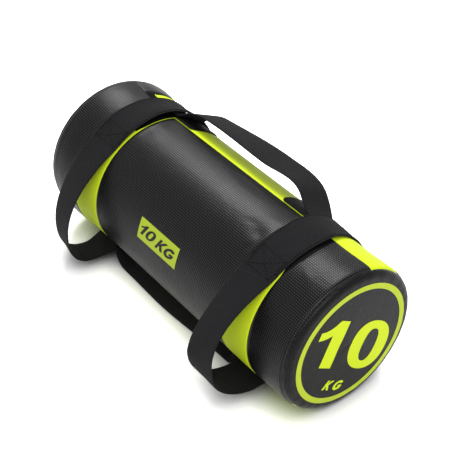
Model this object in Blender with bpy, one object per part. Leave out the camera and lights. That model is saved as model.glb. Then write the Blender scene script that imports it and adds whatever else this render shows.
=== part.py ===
"""A sandbag trainer: a round sand-filled bag with two hand loops and two handles of webbing.

X runs along the bag towards its near end, -Y is the side of the hand loops and Z is up. The
origin is on the floor under the middle of the bag. Lengths are in metres. Angles round the bag
start at the top and grow towards -Y.
"""

import math
from dataclasses import dataclass

import bmesh
import bpy
from mathutils import Vector

# Bag
BAG_RADIUS = 0.100
BAG_HALF_LENGTH = 0.2518
BAG_SAG = 0.002
AXIS_HEIGHT = BAG_RADIUS - BAG_SAG
CLEARANCE = 0.0003
FACET_ANGLE = math.radians(5.4)
FLATNESS_ANGLE = math.radians(0.06)
SMOOTH_ANGLE = math.radians(35)

# Cover
COVER_THICKNESS = 0.0012
CAP_DEPTH = 0.0068
CAP_FLAT_RADIUS = 0.088
END_TURN_LENGTH = 0.008
END_TURN_DROP = 0.0024
CAP_SEAM_PLACE = BAG_HALF_LENGTH - CAP_DEPTH
BAND_WIDTH = 0.052
HANDLE_PANEL_HALF_ANGLE = math.radians(16)
BACK_PANEL_FAR_INSET = 0.0398
BACK_PANEL_FAR_PLACE = BACK_PANEL_FAR_INSET - BAG_HALF_LENGTH

# Webbing
WEBBING_WIDTH = 0.050
WEBBING_THICKNESS = 0.0024
WEBBING_COLUMNS = 9
FAR_STRAP_INSET = 0.0848
NEAR_STRAP_INSET = 0.0948
FAR_STRAP_PLACE = FAR_STRAP_INSET - BAG_HALF_LENGTH
NEAR_STRAP_PLACE = BAG_HALF_LENGTH - NEAR_STRAP_INSET
RECESS_RAMP = 0.004
STRAP_RADIUS = BAG_RADIUS + CLEARANCE + WEBBING_THICKNESS / 2

# Hand loops
LOOP_LEAVE_ANGLE = math.radians(33)
LOOP_RETURN_ANGLE = math.radians(145)
LOOP_HINGE_INSET = 0.010
LOOP_CUT_RADIUS = 0.027
LOOP_CUT_GAP = 0.0006
LOOP_ROWS = 30
TONGUE_ROWS = 7
BISECTION_STEPS = 40

# Handles
BACK_HANDLE_ANGLE = math.radians(-35)
FRONT_HANDLE_ANGLE = BACK_HANDLE_ANGLE + math.pi
HANDLE_COLUMNS = 7
PATCH_THICKNESS = 0.001
FOOT_FLAT_LENGTH = 0.008
LEG_PULL_SHARE = 0.42
CROWN_PULL_SHARE = 0.33
HANDLE_CUT_GAP = 0.0003
LEG_ROWS = 8
GRIP_ROWS = 10

# Filling
SAND_RADIUS = 0.0665
SAND_SHOULDER_LENGTH = 0.023
SACK_THICKNESS = 0.0008
SACK_NECK_RADIUS = 0.014
SACK_NECK_LENGTH = 0.018
TIE_WIDTH = 0.0048
TIE_THICKNESS = 0.0013
PAD_THICKNESS = 0.012
CAP_ARC_STEPS = 4


@dataclass
class Finish:
    """A plain surface colour."""

    name: str
    colour: tuple
    roughness: float
    metallic: float = 0.0


BLACK_FABRIC = Finish("black_coated_fabric", (0.023, 0.023, 0.025, 1), 0.42)
LIME_FABRIC = Finish("lime_coated_fabric", (0.52, 0.60, 0.04, 1), 0.5)
BLACK_WEBBING = Finish("black_webbing", (0.02, 0.02, 0.021, 1), 0.8)
FOAM = Finish("foam", (0.45, 0.45, 0.43, 1), 0.95)
SACK_CLOTH = Finish("sack_cloth", (0.6, 0.58, 0.52, 1), 0.9)
TIE_PLASTIC = Finish("tie_plastic", (0.03, 0.03, 0.03, 1), 0.4)
SAND = Finish("sand", (0.42, 0.33, 0.2, 1), 1.0)


@dataclass
class Loop:
    """One hand loop, seen from the side: its belly, its low point and how far it leans."""

    name: str
    place: float
    reach: float
    belly_drop: float
    low_setback: float
    low_height: float
    leave_pull: float
    belly_pull: float
    fold_pull: float
    low_pull: float
    return_pull: float
    belly_lean: float
    low_lean: float
    leave_lean_share: float


NEAR_LOOP = Loop(
    name="near_loop",
    place=NEAR_STRAP_PLACE,
    reach=0.047,
    belly_drop=0.018,
    low_setback=0.062,
    low_height=0.0165,
    leave_pull=0.022,
    belly_pull=0.062,
    fold_pull=0.048,
    low_pull=0.014,
    return_pull=0.006,
    belly_lean=0.0,
    low_lean=-0.001,
    leave_lean_share=0.62,
)
FAR_LOOP = Loop(
    name="far_loop",
    place=FAR_STRAP_PLACE,
    reach=0.039,
    belly_drop=0.033,
    low_setback=0.050,
    low_height=0.0095,
    leave_pull=0.014,
    belly_pull=0.072,
    fold_pull=0.048,
    low_pull=0.020,
    return_pull=0.006,
    belly_lean=0.005,
    low_lean=-0.005,
    leave_lean_share=0.15,
)


@dataclass
class Section:
    """How webbing lies at one place: its shift sideways, its lean and how far it wraps the bag."""

    shift: float
    lean: float
    wrap: float


SEWN_SECTION = Section(shift=0, lean=0, wrap=1)


@dataclass
class Handle:
    """One handle along the bag: heights are over the cover, leans are out of square to it."""

    name: str
    angle: float
    far_leg_length: float
    near_leg_length: float
    crown_share: float
    hinge_height: float
    far_cut_height: float
    crown_height: float
    near_cut_height: float
    far_cut_rise: float
    near_cut_rise: float
    cut_shift: float
    cut_lean: float
    crown_lean: float
    patch_half_angle: float
    far_patch_length: float
    near_patch_length: float


BACK_HANDLE = Handle(
    name="back_handle",
    angle=BACK_HANDLE_ANGLE,
    far_leg_length=0.0417,
    near_leg_length=0.0287,
    crown_share=0.63,
    hinge_height=0.0175,
    far_cut_height=0.019,
    crown_height=0.026,
    near_cut_height=0.0168,
    far_cut_rise=math.radians(5),
    near_cut_rise=math.radians(-38),
    cut_shift=0.0,
    cut_lean=math.radians(4),
    crown_lean=math.radians(15),
    patch_half_angle=math.radians(15),
    far_patch_length=0.042,
    near_patch_length=0.051,
)
FRONT_HANDLE = Handle(
    name="front_handle",
    angle=FRONT_HANDLE_ANGLE,
    far_leg_length=0.0357,
    near_leg_length=0.0287,
    crown_share=0.5,
    hinge_height=0.007,
    far_cut_height=0.007,
    crown_height=0.007,
    near_cut_height=0.007,
    far_cut_rise=0.0,
    near_cut_rise=0.0,
    cut_shift=-0.0078,
    cut_lean=math.radians(24.2),
    crown_lean=math.radians(24.2),
    patch_half_angle=math.radians(11),
    far_patch_length=0.042,
    near_patch_length=0.042,
)
HANDLES = (BACK_HANDLE, FRONT_HANDLE)
LOOPS = (FAR_LOOP, NEAR_LOOP)
SEAM_ANGLES = (
    BACK_HANDLE_ANGLE - HANDLE_PANEL_HALF_ANGLE,
    BACK_HANDLE_ANGLE + HANDLE_PANEL_HALF_ANGLE,
    FRONT_HANDLE_ANGLE - HANDLE_PANEL_HALF_ANGLE,
    FRONT_HANDLE_ANGLE + HANDLE_PANEL_HALF_ANGLE,
    BACK_HANDLE_ANGLE - HANDLE_PANEL_HALF_ANGLE + math.tau,
)


def clear_scene():
    """Takes every object out of the open file."""
    for existing in list(bpy.data.objects):
        bpy.data.objects.remove(existing, do_unlink=True)


def material(finish):
    """Returns the Principled material of a finish, made once."""
    made = bpy.data.materials.get(finish.name)
    if made:
        return made
    made = bpy.data.materials.new(finish.name)
    made.use_nodes = True
    shader = made.node_tree.nodes["Principled BSDF"]
    shader.inputs["Base Color"].default_value = finish.colour
    shader.inputs["Roughness"].default_value = finish.roughness
    shader.inputs["Metallic"].default_value = finish.metallic
    made.diffuse_color = finish.colour
    return made


def smooth_share(share):
    """Eases a share from 0 to 1 with level ends."""
    held = max(0.0, min(1.0, share))
    return held * held * (3 - 2 * held)


def bezier(points, share):
    """Returns the point and the direction of a cubic curve at a share of its length."""
    start, start_pull, end_pull, end = points
    rest = 1 - share
    place = (
        rest**3 * start
        + 3 * rest**2 * share * start_pull
        + 3 * rest * share**2 * end_pull
        + share**3 * end
    )
    heading = (
        rest**2 * (start_pull - start)
        + 2 * rest * share * (end_pull - start_pull)
        + share**2 * (end - end_pull)
    )
    return place, heading.normalized()


def bridge(mesh, first, second):
    """Joins two rings of points, either of which may be a single pole."""
    count = max(len(first), len(second))
    for index in range(count):
        after = (index + 1) % count
        if len(first) == 1:
            mesh.faces.new((first[0], second[index], second[after]))
        elif len(second) == 1:
            mesh.faces.new((first[after], first[index], second[0]))
        else:
            mesh.faces.new((first[index], second[index], second[after], first[after]))


def close_ring(mesh, ring):
    """Closes the end of a flat tube whose ring runs along one side and back along the other."""
    half = len(ring) // 2
    for index in range(half - 1):
        mesh.faces.new((ring[index], ring[index + 1], ring[-index - 2], ring[-index - 1]))


def solid(name, finish, rings, joined=False, hinge=None):
    """Builds one closed piece through rings of points.

    The last ring joins the first where joined is set. A piece with a hinge hangs on an empty there.
    """
    mesh = bmesh.new()
    pivot = hinge if hinge else Vector((0, 0, 0))
    rows = [[mesh.verts.new(point - pivot) for point in ring] for ring in rings]
    for first, second in zip(rows, rows[1:]):
        bridge(mesh, first, second)
    if joined:
        bridge(mesh, rows[-1], rows[0])
    for end in (rows[0], rows[-1]):
        if not joined and len(end) > 1:
            close_ring(mesh, end)
    bmesh.ops.recalc_face_normals(mesh, faces=mesh.faces[:])
    bmesh.ops.triangulate(mesh, faces=mesh.faces[:], quad_method="SHORT_EDGE")
    bmesh.ops.dissolve_limit(mesh, angle_limit=FLATNESS_ANGLE, verts=mesh.verts[:], edges=mesh.edges[:])
    data = bpy.data.meshes.new(name)
    mesh.to_mesh(data)
    mesh.free()
    data.materials.append(material(finish))
    data.shade_smooth()
    data.set_sharp_from_angle(angle=SMOOTH_ANGLE)
    piece = bpy.data.objects.new(name, data)
    bpy.context.scene.collection.objects.link(piece)
    if hinge:
        carrier = bpy.data.objects.new(name + "_hinge", None)
        carrier.location = hinge
        bpy.context.scene.collection.objects.link(carrier)
        piece.parent = carrier
    return piece


def strap_recess(x):
    """Returns how far the straps push the underside up from the floor at x."""
    nearest = min(abs(x - FAR_STRAP_PLACE), abs(x - NEAR_STRAP_PLACE))
    past_edge = nearest - WEBBING_WIDTH / 2 - CLEARANCE
    share = max(0.0, min(1.0, 1 - past_edge / RECESS_RAMP))
    return share * (WEBBING_THICKNESS + CLEARANCE)


def cover_radius(x):
    """Returns the outside radius of the cover at x, which turns in at both ends."""
    past_turn = abs(x) - (CAP_SEAM_PLACE - END_TURN_LENGTH)
    share = max(0.0, past_turn / END_TURN_LENGTH)
    return BAG_RADIUS - END_TURN_DROP * share**2


def bag_point(x, angle, radius):
    """Returns the point at x, an angle round the bag and a radius from its axis."""
    return Vector((x, -radius * math.sin(angle), AXIS_HEIGHT + radius * math.cos(angle)))


def layer_point(x, angle, depth):
    """Returns a point of the layer at a depth in the cover, pressed flat where the bag rests."""
    point = bag_point(x, angle, cover_radius(x) - depth)
    point.z = max(point.z, strap_recess(x) + depth)
    return point


def angle_lines(start, end):
    """Divides an angle evenly in steps of about the facet angle."""
    count = max(1, round((end - start) / FACET_ANGLE))
    return [start + (end - start) * index / count for index in range(count + 1)]


def cover_stations(start, end):
    """Lists the places along X where the cover from start to end changes shape."""
    inside = []
    for place in (FAR_STRAP_PLACE, NEAR_STRAP_PLACE):
        for side in (-1, 1):
            edge = place + side * (WEBBING_WIDTH / 2 + CLEARANCE)
            inside += [edge, edge + side * RECESS_RAMP]
    for side in (-1, 1):
        turn = CAP_SEAM_PLACE - END_TURN_LENGTH
        inside += [side * turn, side * (turn + END_TURN_LENGTH / 2)]
    return [start] + sorted(x for x in inside if start < x < end) + [end]


def skin(name, finish, stations, angles, depth, thickness):
    """Builds a curved sheet that lies in the layer at a depth in the cover."""
    rings = []
    for x in stations:
        outside = [layer_point(x, angle, depth) for angle in angles]
        inside = [layer_point(x, angle, depth + thickness) for angle in reversed(angles)]
        rings.append(outside + inside)
    return solid(name, finish, rings)


def cover_panel(name, finish, start, end, first_seam):
    """Builds one panel of the cover, half a seam gap short of its neighbours all round."""
    half_gap = CLEARANCE / 2
    stations = cover_stations(start + half_gap, end - half_gap)
    angles = angle_lines(SEAM_ANGLES[first_seam], SEAM_ANGLES[first_seam + 1])
    angles[0] += half_gap / BAG_RADIUS
    angles[-1] -= half_gap / BAG_RADIUS
    return skin(name, finish, stations, angles, depth=0, thickness=COVER_THICKNESS)


def build_front_panels():
    """Builds the five panels of the cover's front from end to end."""
    far_band = (FAR_STRAP_PLACE - BAND_WIDTH / 2, FAR_STRAP_PLACE + BAND_WIDTH / 2)
    near_band = (NEAR_STRAP_PLACE - BAND_WIDTH / 2, NEAR_STRAP_PLACE + BAND_WIDTH / 2)
    panels = (
        ("far_end_panel", BLACK_FABRIC, -CAP_SEAM_PLACE, far_band[0]),
        ("far_band_panel", LIME_FABRIC, far_band[0], far_band[1]),
        ("centre_panel", BLACK_FABRIC, far_band[1], near_band[0]),
        ("near_band_panel", LIME_FABRIC, near_band[0], near_band[1]),
        ("near_end_panel", BLACK_FABRIC, near_band[1], CAP_SEAM_PLACE),
    )
    for name, finish, start, end in panels:
        cover_panel(name, finish, start, end, first_seam=1)


def build_lengthwise_panels():
    """Builds the lime strips under the handles and the black panel of the back and underside."""
    far, near = -CAP_SEAM_PLACE, CAP_SEAM_PLACE
    cover_panel("back_handle_panel", LIME_FABRIC, BACK_PANEL_FAR_PLACE, near, first_seam=0)
    cover_panel("back_handle_panel_end", BLACK_FABRIC, far, BACK_PANEL_FAR_PLACE, first_seam=0)
    cover_panel("front_handle_panel", LIME_FABRIC, far, near, first_seam=2)
    cover_panel("under_panel", BLACK_FABRIC, far, near, first_seam=3)


def round_lines():
    """Lists the angles of a full turn, panel by panel from the seam behind the back handle."""
    lines = []
    for first, last in zip(SEAM_ANGLES, SEAM_ANGLES[1:]):
        lines += angle_lines(first, last)[:-1]
    return lines


def turned_ring(x, radius):
    """Returns one ring round the bag's axis, or a pole where the radius is zero."""
    if radius == 0:
        return [bag_point(x, 0, 0)]
    return [bag_point(x, angle, radius) for angle in round_lines()]


def cap_curve(depth):
    """Lists x and radius along the rounded rim of an end cap, at a depth under its surface."""
    seam_radius = BAG_RADIUS - END_TURN_DROP
    outline = []
    for index in range(CAP_ARC_STEPS + 1):
        turn = math.pi / 2 * index / CAP_ARC_STEPS
        x = CAP_SEAM_PLACE + (CAP_DEPTH - depth) * math.sin(turn)
        radius = CAP_FLAT_RADIUS + (seam_radius - CAP_FLAT_RADIUS) * math.cos(turn) - depth
        outline.append((x, radius))
    return outline


def build_end_caps():
    """Builds the two end caps, shallow dishes with a rounded rim."""
    outside = cap_curve(0)
    inside = cap_curve(COVER_THICKNESS)
    outside[0] = (CAP_SEAM_PLACE + CLEARANCE / 2, outside[0][1])
    inside[0] = (CAP_SEAM_PLACE + CLEARANCE / 2, inside[0][1])
    profile = [(inside[-1][0], 0)] + inside[::-1] + outside + [(outside[-1][0], 0)]
    for name, side in (("far_end_cap", -1), ("near_end_cap", 1)):
        solid(name, BLACK_FABRIC, [turned_ring(side * x, radius) for x, radius in profile])


def pad_inner_place():
    """Returns the place along X of an end pad's inner face."""
    return BAG_HALF_LENGTH - COVER_THICKNESS - CLEARANCE - PAD_THICKNESS


def build_end_pads():
    """Builds the foam discs behind the end caps."""
    rim = cap_curve(COVER_THICKNESS + CLEARANCE)
    inner_place = pad_inner_place()
    profile = [(inner_place, 0), (inner_place, rim[0][1])] + rim + [(rim[-1][0], 0)]
    for name, side in (("far_end_pad", -1), ("near_end_pad", 1)):
        solid(name, FOAM, [turned_ring(side * x, radius) for x, radius in profile])


def build_foam_sleeve():
    """Builds the wadding between the cover and the sack, pressed flat like the cover."""
    half_length = pad_inner_place() - CLEARANCE
    bore_radius = SAND_RADIUS + SACK_THICKNESS + 2 * CLEARANCE
    stations = cover_stations(-half_length, half_length)
    depth = COVER_THICKNESS + CLEARANCE
    rings = [[layer_point(x, angle, depth) for angle in round_lines()] for x in stations]
    rings += [turned_ring(half_length, bore_radius), turned_ring(-half_length, bore_radius)]
    solid("foam_sleeve", FOAM, rings, joined=True)


def build_sack():
    """Builds the inner sack, its tie and the sand in it."""
    bottom = CLEARANCE - pad_inner_place()
    mouth = pad_inner_place() - CLEARANCE
    neck = mouth - SACK_NECK_LENGTH
    shoulder = neck - SAND_SHOULDER_LENGTH
    outside = SAND_RADIUS + CLEARANCE + SACK_THICKNESS
    inside = SAND_RADIUS + CLEARANCE
    neck_inside = SACK_NECK_RADIUS - SACK_THICKNESS
    floor = bottom + SACK_THICKNESS
    sack = [(bottom, 0), (bottom, outside), (shoulder, outside), (neck, SACK_NECK_RADIUS)]
    sack += [(mouth, SACK_NECK_RADIUS), (mouth, neck_inside), (neck, neck_inside)]
    sack += [(shoulder, inside), (floor, inside), (floor, 0)]
    solid("inner_sack", SACK_CLOTH, [turned_ring(x, radius) for x, radius in sack])

    sand_neck = neck_inside - CLEARANCE
    sand = [(floor + CLEARANCE, 0), (floor + CLEARANCE, SAND_RADIUS), (shoulder, SAND_RADIUS)]
    sand += [(neck, sand_neck), (neck, 0)]
    solid("sand_fill", SAND, [turned_ring(x, radius) for x, radius in sand])

    tie_start = neck + (SACK_NECK_LENGTH - TIE_WIDTH) / 2
    tie_end = tie_start + TIE_WIDTH
    tie_inside = SACK_NECK_RADIUS + CLEARANCE
    tie_outside = tie_inside + TIE_THICKNESS
    tie = [(tie_start, tie_inside), (tie_start, tie_outside)]
    tie += [(tie_end, tie_outside), (tie_end, tie_inside)]
    solid("sack_tie", TIE_PLASTIC, [turned_ring(x, radius) for x, radius in tie], joined=True)


def surface_place(angle, radius):
    """Returns Y and Z at an angle round the bag and a radius from its axis."""
    point = bag_point(0, angle, radius)
    return Vector((point.y, point.z))


def surface_heading(angle):
    """Returns the heading round the bag, towards larger angles."""
    return Vector((-math.cos(angle), -math.sin(angle)))


def loop_curves(loop):
    """Returns the three curves of a loop in Y and Z: down to the belly, to the low point, back."""
    down, inward = Vector((0, -1)), Vector((1, 0))
    leave = surface_place(LOOP_LEAVE_ANGLE, STRAP_RADIUS)
    back = surface_place(LOOP_RETURN_ANGLE, STRAP_RADIUS)
    belly = Vector((-BAG_RADIUS - loop.reach, AXIS_HEIGHT - loop.belly_drop))
    low = Vector((belly.x + loop.low_setback, loop.low_height))
    leave_heading = surface_heading(LOOP_LEAVE_ANGLE)
    back_heading = surface_heading(LOOP_RETURN_ANGLE)
    upper = (leave, leave + leave_heading * loop.leave_pull, belly - down * loop.belly_pull, belly)
    fold = (belly, belly + down * loop.fold_pull, low - inward * loop.low_pull, low)
    lower = (low, low + inward * loop.return_pull, back - back_heading * loop.return_pull, back)
    return upper, fold, lower


def loop_lean(loop, share, standoff):
    """Returns how far the near edge stands out of line with the middle of the webbing."""
    if share < 1:
        leaving = standoff * loop.leave_lean_share * (1 - share)
        return leaving + loop.belly_lean * smooth_share(share)
    if share < 2:
        return loop.belly_lean + (loop.low_lean - loop.belly_lean) * smooth_share(share - 1)
    return loop.low_lean * (1 - smooth_share(share - 2))


def loop_point(loop, share, across, side):
    """Returns a point of a loop's webbing.

    The share runs from 0 to 3 along its three curves, across runs from -1 at the far edge to 1
    at the near edge, and side is 1 on the outer face and -1 on the inner face.
    """
    index = min(2, int(share))
    middle, heading = bezier(loop_curves(loop)[index], share - index)
    outward = Vector((heading.y, -heading.x))
    standoff = (middle - Vector((0, AXIS_HEIGHT))).length - STRAP_RADIUS
    offset = loop_lean(loop, share, standoff) * across + WEBBING_THICKNESS / 2 * side
    place = middle + outward * offset
    return Vector((loop.place + across * WEBBING_WIDTH / 2, place.x, place.y))


def loop_hinge(loop):
    """Returns a point on the upright axis that a loop swings about."""
    return Vector((loop.place, LOOP_HINGE_INSET - BAG_RADIUS, AXIS_HEIGHT))


def cut_share(loop, across, side, radius, inner_share, outer_share):
    """Returns where a line along the webbing crosses the cylinder round the loop's hinge."""
    half_chord = math.sqrt(radius**2 - (across * WEBBING_WIDTH / 2) ** 2)
    cut_y = loop_hinge(loop).y - half_chord
    inside, outside = inner_share, outer_share
    for _ in range(BISECTION_STEPS):
        middle = (inside + outside) / 2
        if loop_point(loop, middle, across, side).y > cut_y:
            inside = middle
        else:
            outside = middle
    return inside


def columns():
    """Lists the places across the webbing, closer together towards its edges."""
    last = WEBBING_COLUMNS - 1
    widest = math.asin(WEBBING_WIDTH / 2 / LOOP_CUT_RADIUS)
    turns = [widest * (2 * index / last - 1) for index in range(WEBBING_COLUMNS)]
    return [math.sin(turn) / math.sin(widest) for turn in turns]


def webbing_ring(point_at):
    """Builds a ring across the webbing from a function of the column and the face."""
    outer = [point_at(across, 1) for across in columns()]
    inner = [point_at(across, -1) for across in reversed(columns())]
    return outer + inner


def loop_rings(loop, radius, first, last, row_count):
    """Builds rings along a loop, where an end given as a pair is cut by the hinge's cylinder."""

    def end_share(end, across, side):
        if isinstance(end, tuple):
            return cut_share(loop, across, side, radius, *end)
        return end

    rings = []
    for row in range(row_count):
        along = row / (row_count - 1)

        def point_at(across, side, along=along):
            start = end_share(first, across, side)
            end = end_share(last, across, side)
            return loop_point(loop, start + (end - start) * along, across, side)

        rings.append(webbing_ring(point_at))
    return rings


def build_loop(loop):
    """Builds the free part of a hand loop, hung on its upright hinge axis."""
    radius = LOOP_CUT_RADIUS + LOOP_CUT_GAP / 2
    rings = loop_rings(loop, radius, (0, 1), (3, 1), LOOP_ROWS)
    solid(loop.name, BLACK_WEBBING, rings, hinge=loop_hinge(loop))


def strap_point(loop, angle, across, side):
    """Returns a point of the strap where it lies on the bag, flat where the bag rests on it."""
    radius = STRAP_RADIUS + WEBBING_THICKNESS / 2 * side
    point = bag_point(loop.place + across * WEBBING_WIDTH / 2, angle, radius)
    point.z = max(point.z, WEBBING_THICKNESS / 2 * (1 - side))
    return point


def strap_lines():
    """Lists the angles where a strap lies on the bag, from under its loop round to the top."""
    two_turns = round_lines() + [angle + math.tau for angle in round_lines()]
    margin = FACET_ANGLE / 4
    first, last = LOOP_RETURN_ANGLE + margin, LOOP_LEAVE_ANGLE + math.tau - margin
    return [angle for angle in two_turns if first < angle < last]


def build_strap(loop):
    """Builds the sewn-down strap with the tongues that carry its loop."""
    radius = LOOP_CUT_RADIUS - LOOP_CUT_GAP / 2
    rings = loop_rings(loop, radius, (3, 1), 3, TONGUE_ROWS)
    for angle in strap_lines():
        rings.append(webbing_ring(lambda across, side, angle=angle: strap_point(loop, angle, across, side)))
    rings += loop_rings(loop, radius, 0, (0, 1), TONGUE_ROWS)
    solid(loop.name.replace("loop", "strap"), BLACK_WEBBING, rings)


def foot_height():
    """Returns how high the middle of a sewn foot lies over the cover."""
    return 2 * CLEARANCE + PATCH_THICKNESS + WEBBING_THICKNESS / 2


def handle_hinge(handle):
    """Returns a point on the axis along X that a handle's grip swings about."""
    outward = surface_place(handle.angle, 1) - surface_place(handle.angle, 0)
    sideways = -surface_heading(handle.angle)
    middle = surface_place(handle.angle, BAG_RADIUS + handle.hinge_height)
    place = middle + sideways * handle.cut_shift
    return Vector((0, place.x, place.y)), outward, sideways


def cut_section(handle):
    """Returns how a handle's webbing lies where its grip meets a leg."""
    return Section(handle.cut_shift, handle.cut_lean, wrap=0)


def crown_section(handle):
    """Returns how a handle's webbing lies at the middle of its grip."""
    return Section(handle.cut_shift, handle.crown_lean, wrap=0)


def eased_section(first, last, share):
    """Returns the section part of the way between two, with level ends."""
    eased = smooth_share(share)
    shift = first.shift + (last.shift - first.shift) * eased
    lean = first.lean + (last.lean - first.lean) * eased
    return Section(shift, lean, first.wrap + (last.wrap - first.wrap) * eased)


def handle_ring(handle, place, rise, section):
    """Builds one upright ring of a handle at a place given as X and height over the cover."""
    hinge, outward, sideways = handle_hinge(handle)
    across_way = sideways * math.cos(section.lean) + outward * math.sin(section.lean)
    face_way = outward * math.cos(section.lean) - sideways * math.sin(section.lean)
    middle = Vector(hinge.yz) + face_way * (place.y - handle.hinge_height)
    middle += sideways * (section.shift - handle.cut_shift)
    half_depth = WEBBING_THICKNESS / 2 / math.cos(rise)

    def point_at(across, side):
        reach = across * WEBBING_WIDTH / 2
        turn = section.wrap * reach / (BAG_RADIUS + foot_height())
        run = reach * math.sin(turn) / turn if turn else reach
        drop = run * math.tan(turn / 2)
        bent_way = face_way * math.cos(turn) + across_way * math.sin(turn)
        spot = middle + across_way * run - face_way * drop + bent_way * side * half_depth
        return Vector((place.x, spot.x, spot.y))

    places = [2 * index / (HANDLE_COLUMNS - 1) - 1 for index in range(HANDLE_COLUMNS)]
    return [point_at(across, 1) for across in places] + [point_at(across, -1) for across in places[::-1]]


def run_rings(handle, curve, row_count, first, last):
    """Builds rings along one curve of a handle between two sections."""
    rings = []
    for row in range(row_count + 1):
        share = row / row_count
        place, heading = bezier(curve, share)
        rise = math.atan2(heading.y, abs(heading.x))
        rings.append(handle_ring(handle, place, rise, eased_section(first, last, share)))
    return rings


def strap_edge(side):
    """Returns where the sewn parts stop short of a strap: the near one where side is 1."""
    place = NEAR_STRAP_PLACE if side > 0 else FAR_STRAP_PLACE
    return place - side * (WEBBING_WIDTH / 2 + CLEARANCE)


def cut_point(handle, side, gap):
    """Returns X and height where the grip meets a leg, a gap away from it, and the way it heads."""
    length = handle.near_leg_length if side > 0 else handle.far_leg_length
    height = handle.near_cut_height if side > 0 else handle.far_cut_height
    rise = handle.near_cut_rise if side > 0 else handle.far_cut_rise
    place = Vector((strap_edge(side) - side * length + gap, height))
    return place, Vector((math.cos(rise), math.sin(rise)))


def leg_curve(handle, side):
    """Returns a handle's leg as a curve of X and height from its foot to its cut."""
    start = Vector((strap_edge(side) - side * FOOT_FLAT_LENGTH, foot_height()))
    end, end_way = cut_point(handle, side, side * HANDLE_CUT_GAP / 2)
    pull = LEG_PULL_SHARE * (end.x - start.x)
    return (start, start + Vector((pull, 0)), end - end_way * pull, end)


def build_leg(handle, side, end_name):
    """Builds one sewn foot of a handle with the leg that rises from it."""
    curve = leg_curve(handle, side)
    outer_end = curve[0] + Vector((side * FOOT_FLAT_LENGTH, 0))
    rings = [handle_ring(handle, outer_end, 0, SEWN_SECTION)]
    rings += run_rings(handle, curve, LEG_ROWS, SEWN_SECTION, cut_section(handle))
    solid(handle.name + end_name, BLACK_WEBBING, rings)


def build_grip(handle):
    """Builds the free part of a handle, hung on its hinge axis."""
    far, far_way = cut_point(handle, -1, HANDLE_CUT_GAP / 2)
    near, near_way = cut_point(handle, 1, -HANDLE_CUT_GAP / 2)
    crown = Vector((far.x + (near.x - far.x) * handle.crown_share, handle.crown_height))
    far_pull = CROWN_PULL_SHARE * (crown.x - far.x)
    near_pull = CROWN_PULL_SHARE * (near.x - crown.x)
    rising = (far, far + far_way * far_pull, crown - Vector((far_pull, 0)), crown)
    falling = (crown, crown + Vector((near_pull, 0)), near - near_way * near_pull, near)
    at_cut, at_crown = cut_section(handle), crown_section(handle)
    rings = run_rings(handle, rising, GRIP_ROWS, at_cut, at_crown)
    rings += run_rings(handle, falling, GRIP_ROWS, at_crown, at_cut)[1:]
    solid(handle.name + "_grip", BLACK_WEBBING, rings, hinge=handle_hinge(handle)[0])


def build_patch(handle, side, end_name):
    """Builds the reinforcing patch under one foot of a handle."""
    outer_place = strap_edge(side)
    length = handle.near_patch_length if side > 0 else handle.far_patch_length
    inner_place = outer_place - side * length
    stations = cover_stations(min(outer_place, inner_place), max(outer_place, inner_place))
    angles = angle_lines(handle.angle - handle.patch_half_angle, handle.angle + handle.patch_half_angle)
    depth = -CLEARANCE - PATCH_THICKNESS
    skin(handle.name + end_name, BLACK_FABRIC, stations, angles, depth, PATCH_THICKNESS)


def build_handle(handle):
    """Builds a handle: two feet, two patches and the free grip."""
    for side, end_word in ((-1, "far"), (1, "near")):
        build_leg(handle, side, f"_{end_word}_foot")
        build_patch(handle, side, f"_{end_word}_patch")
    build_grip(handle)


def build_bag():
    """Builds the whole bag."""
    clear_scene()
    build_front_panels()
    build_lengthwise_panels()
    build_end_caps()
    build_end_pads()
    build_foam_sleeve()
    build_sack()
    for loop in LOOPS:
        build_strap(loop)
        build_loop(loop)
    for handle in HANDLES:
        build_handle(handle)


build_bag()
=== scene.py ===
"""Dresses the sandbag trainer in coated fabric and webbing, and sets it in a pale studio.

X runs along the bag towards its near end, -Y is the side of the hand loops and Z is up. Lengths
are in metres. Angles round the bag start at the top and grow towards -Y.
"""
import logging
import math
from dataclasses import dataclass, field
from enum import Enum
from typing import Callable, Iterable, Sequence

import bmesh
import bpy
import numpy as np
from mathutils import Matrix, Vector


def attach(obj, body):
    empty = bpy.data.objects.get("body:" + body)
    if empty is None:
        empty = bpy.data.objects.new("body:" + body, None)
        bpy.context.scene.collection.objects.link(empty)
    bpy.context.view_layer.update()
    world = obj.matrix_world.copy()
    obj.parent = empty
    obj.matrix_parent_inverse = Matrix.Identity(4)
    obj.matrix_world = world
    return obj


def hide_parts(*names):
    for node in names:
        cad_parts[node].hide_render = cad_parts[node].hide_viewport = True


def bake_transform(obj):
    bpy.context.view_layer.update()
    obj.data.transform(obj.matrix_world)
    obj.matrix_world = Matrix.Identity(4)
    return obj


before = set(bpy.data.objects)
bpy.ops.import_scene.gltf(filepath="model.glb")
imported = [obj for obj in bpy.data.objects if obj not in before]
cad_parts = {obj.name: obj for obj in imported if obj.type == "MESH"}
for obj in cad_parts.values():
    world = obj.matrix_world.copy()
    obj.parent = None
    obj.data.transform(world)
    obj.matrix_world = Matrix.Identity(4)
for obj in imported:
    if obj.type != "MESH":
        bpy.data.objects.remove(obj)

logging.basicConfig(level=logging.INFO, format="%(message)s")
LOG = logging.getLogger("sandbag")
SMOOTH_ANGLE = math.radians(40)
UV_NAME = "cloth"
SHEEN_ROUGHNESS = 0.5
ROUGHNESS_SPREAD = 0.07

Array = np.ndarray
Tree = bpy.types.NodeTree
Node = bpy.types.Node
Socket = bpy.types.NodeSocket
Place = Callable[[Array, Array], Array]


class Body(Enum):
    """The moving bodies of the frame."""

    BAG = "bag"
    FAR_LOOP = "far_loop"
    NEAR_LOOP = "near_loop"
    BACK_GRIP = "back_grip"
    FRONT_GRIP = "front_grip"


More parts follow.
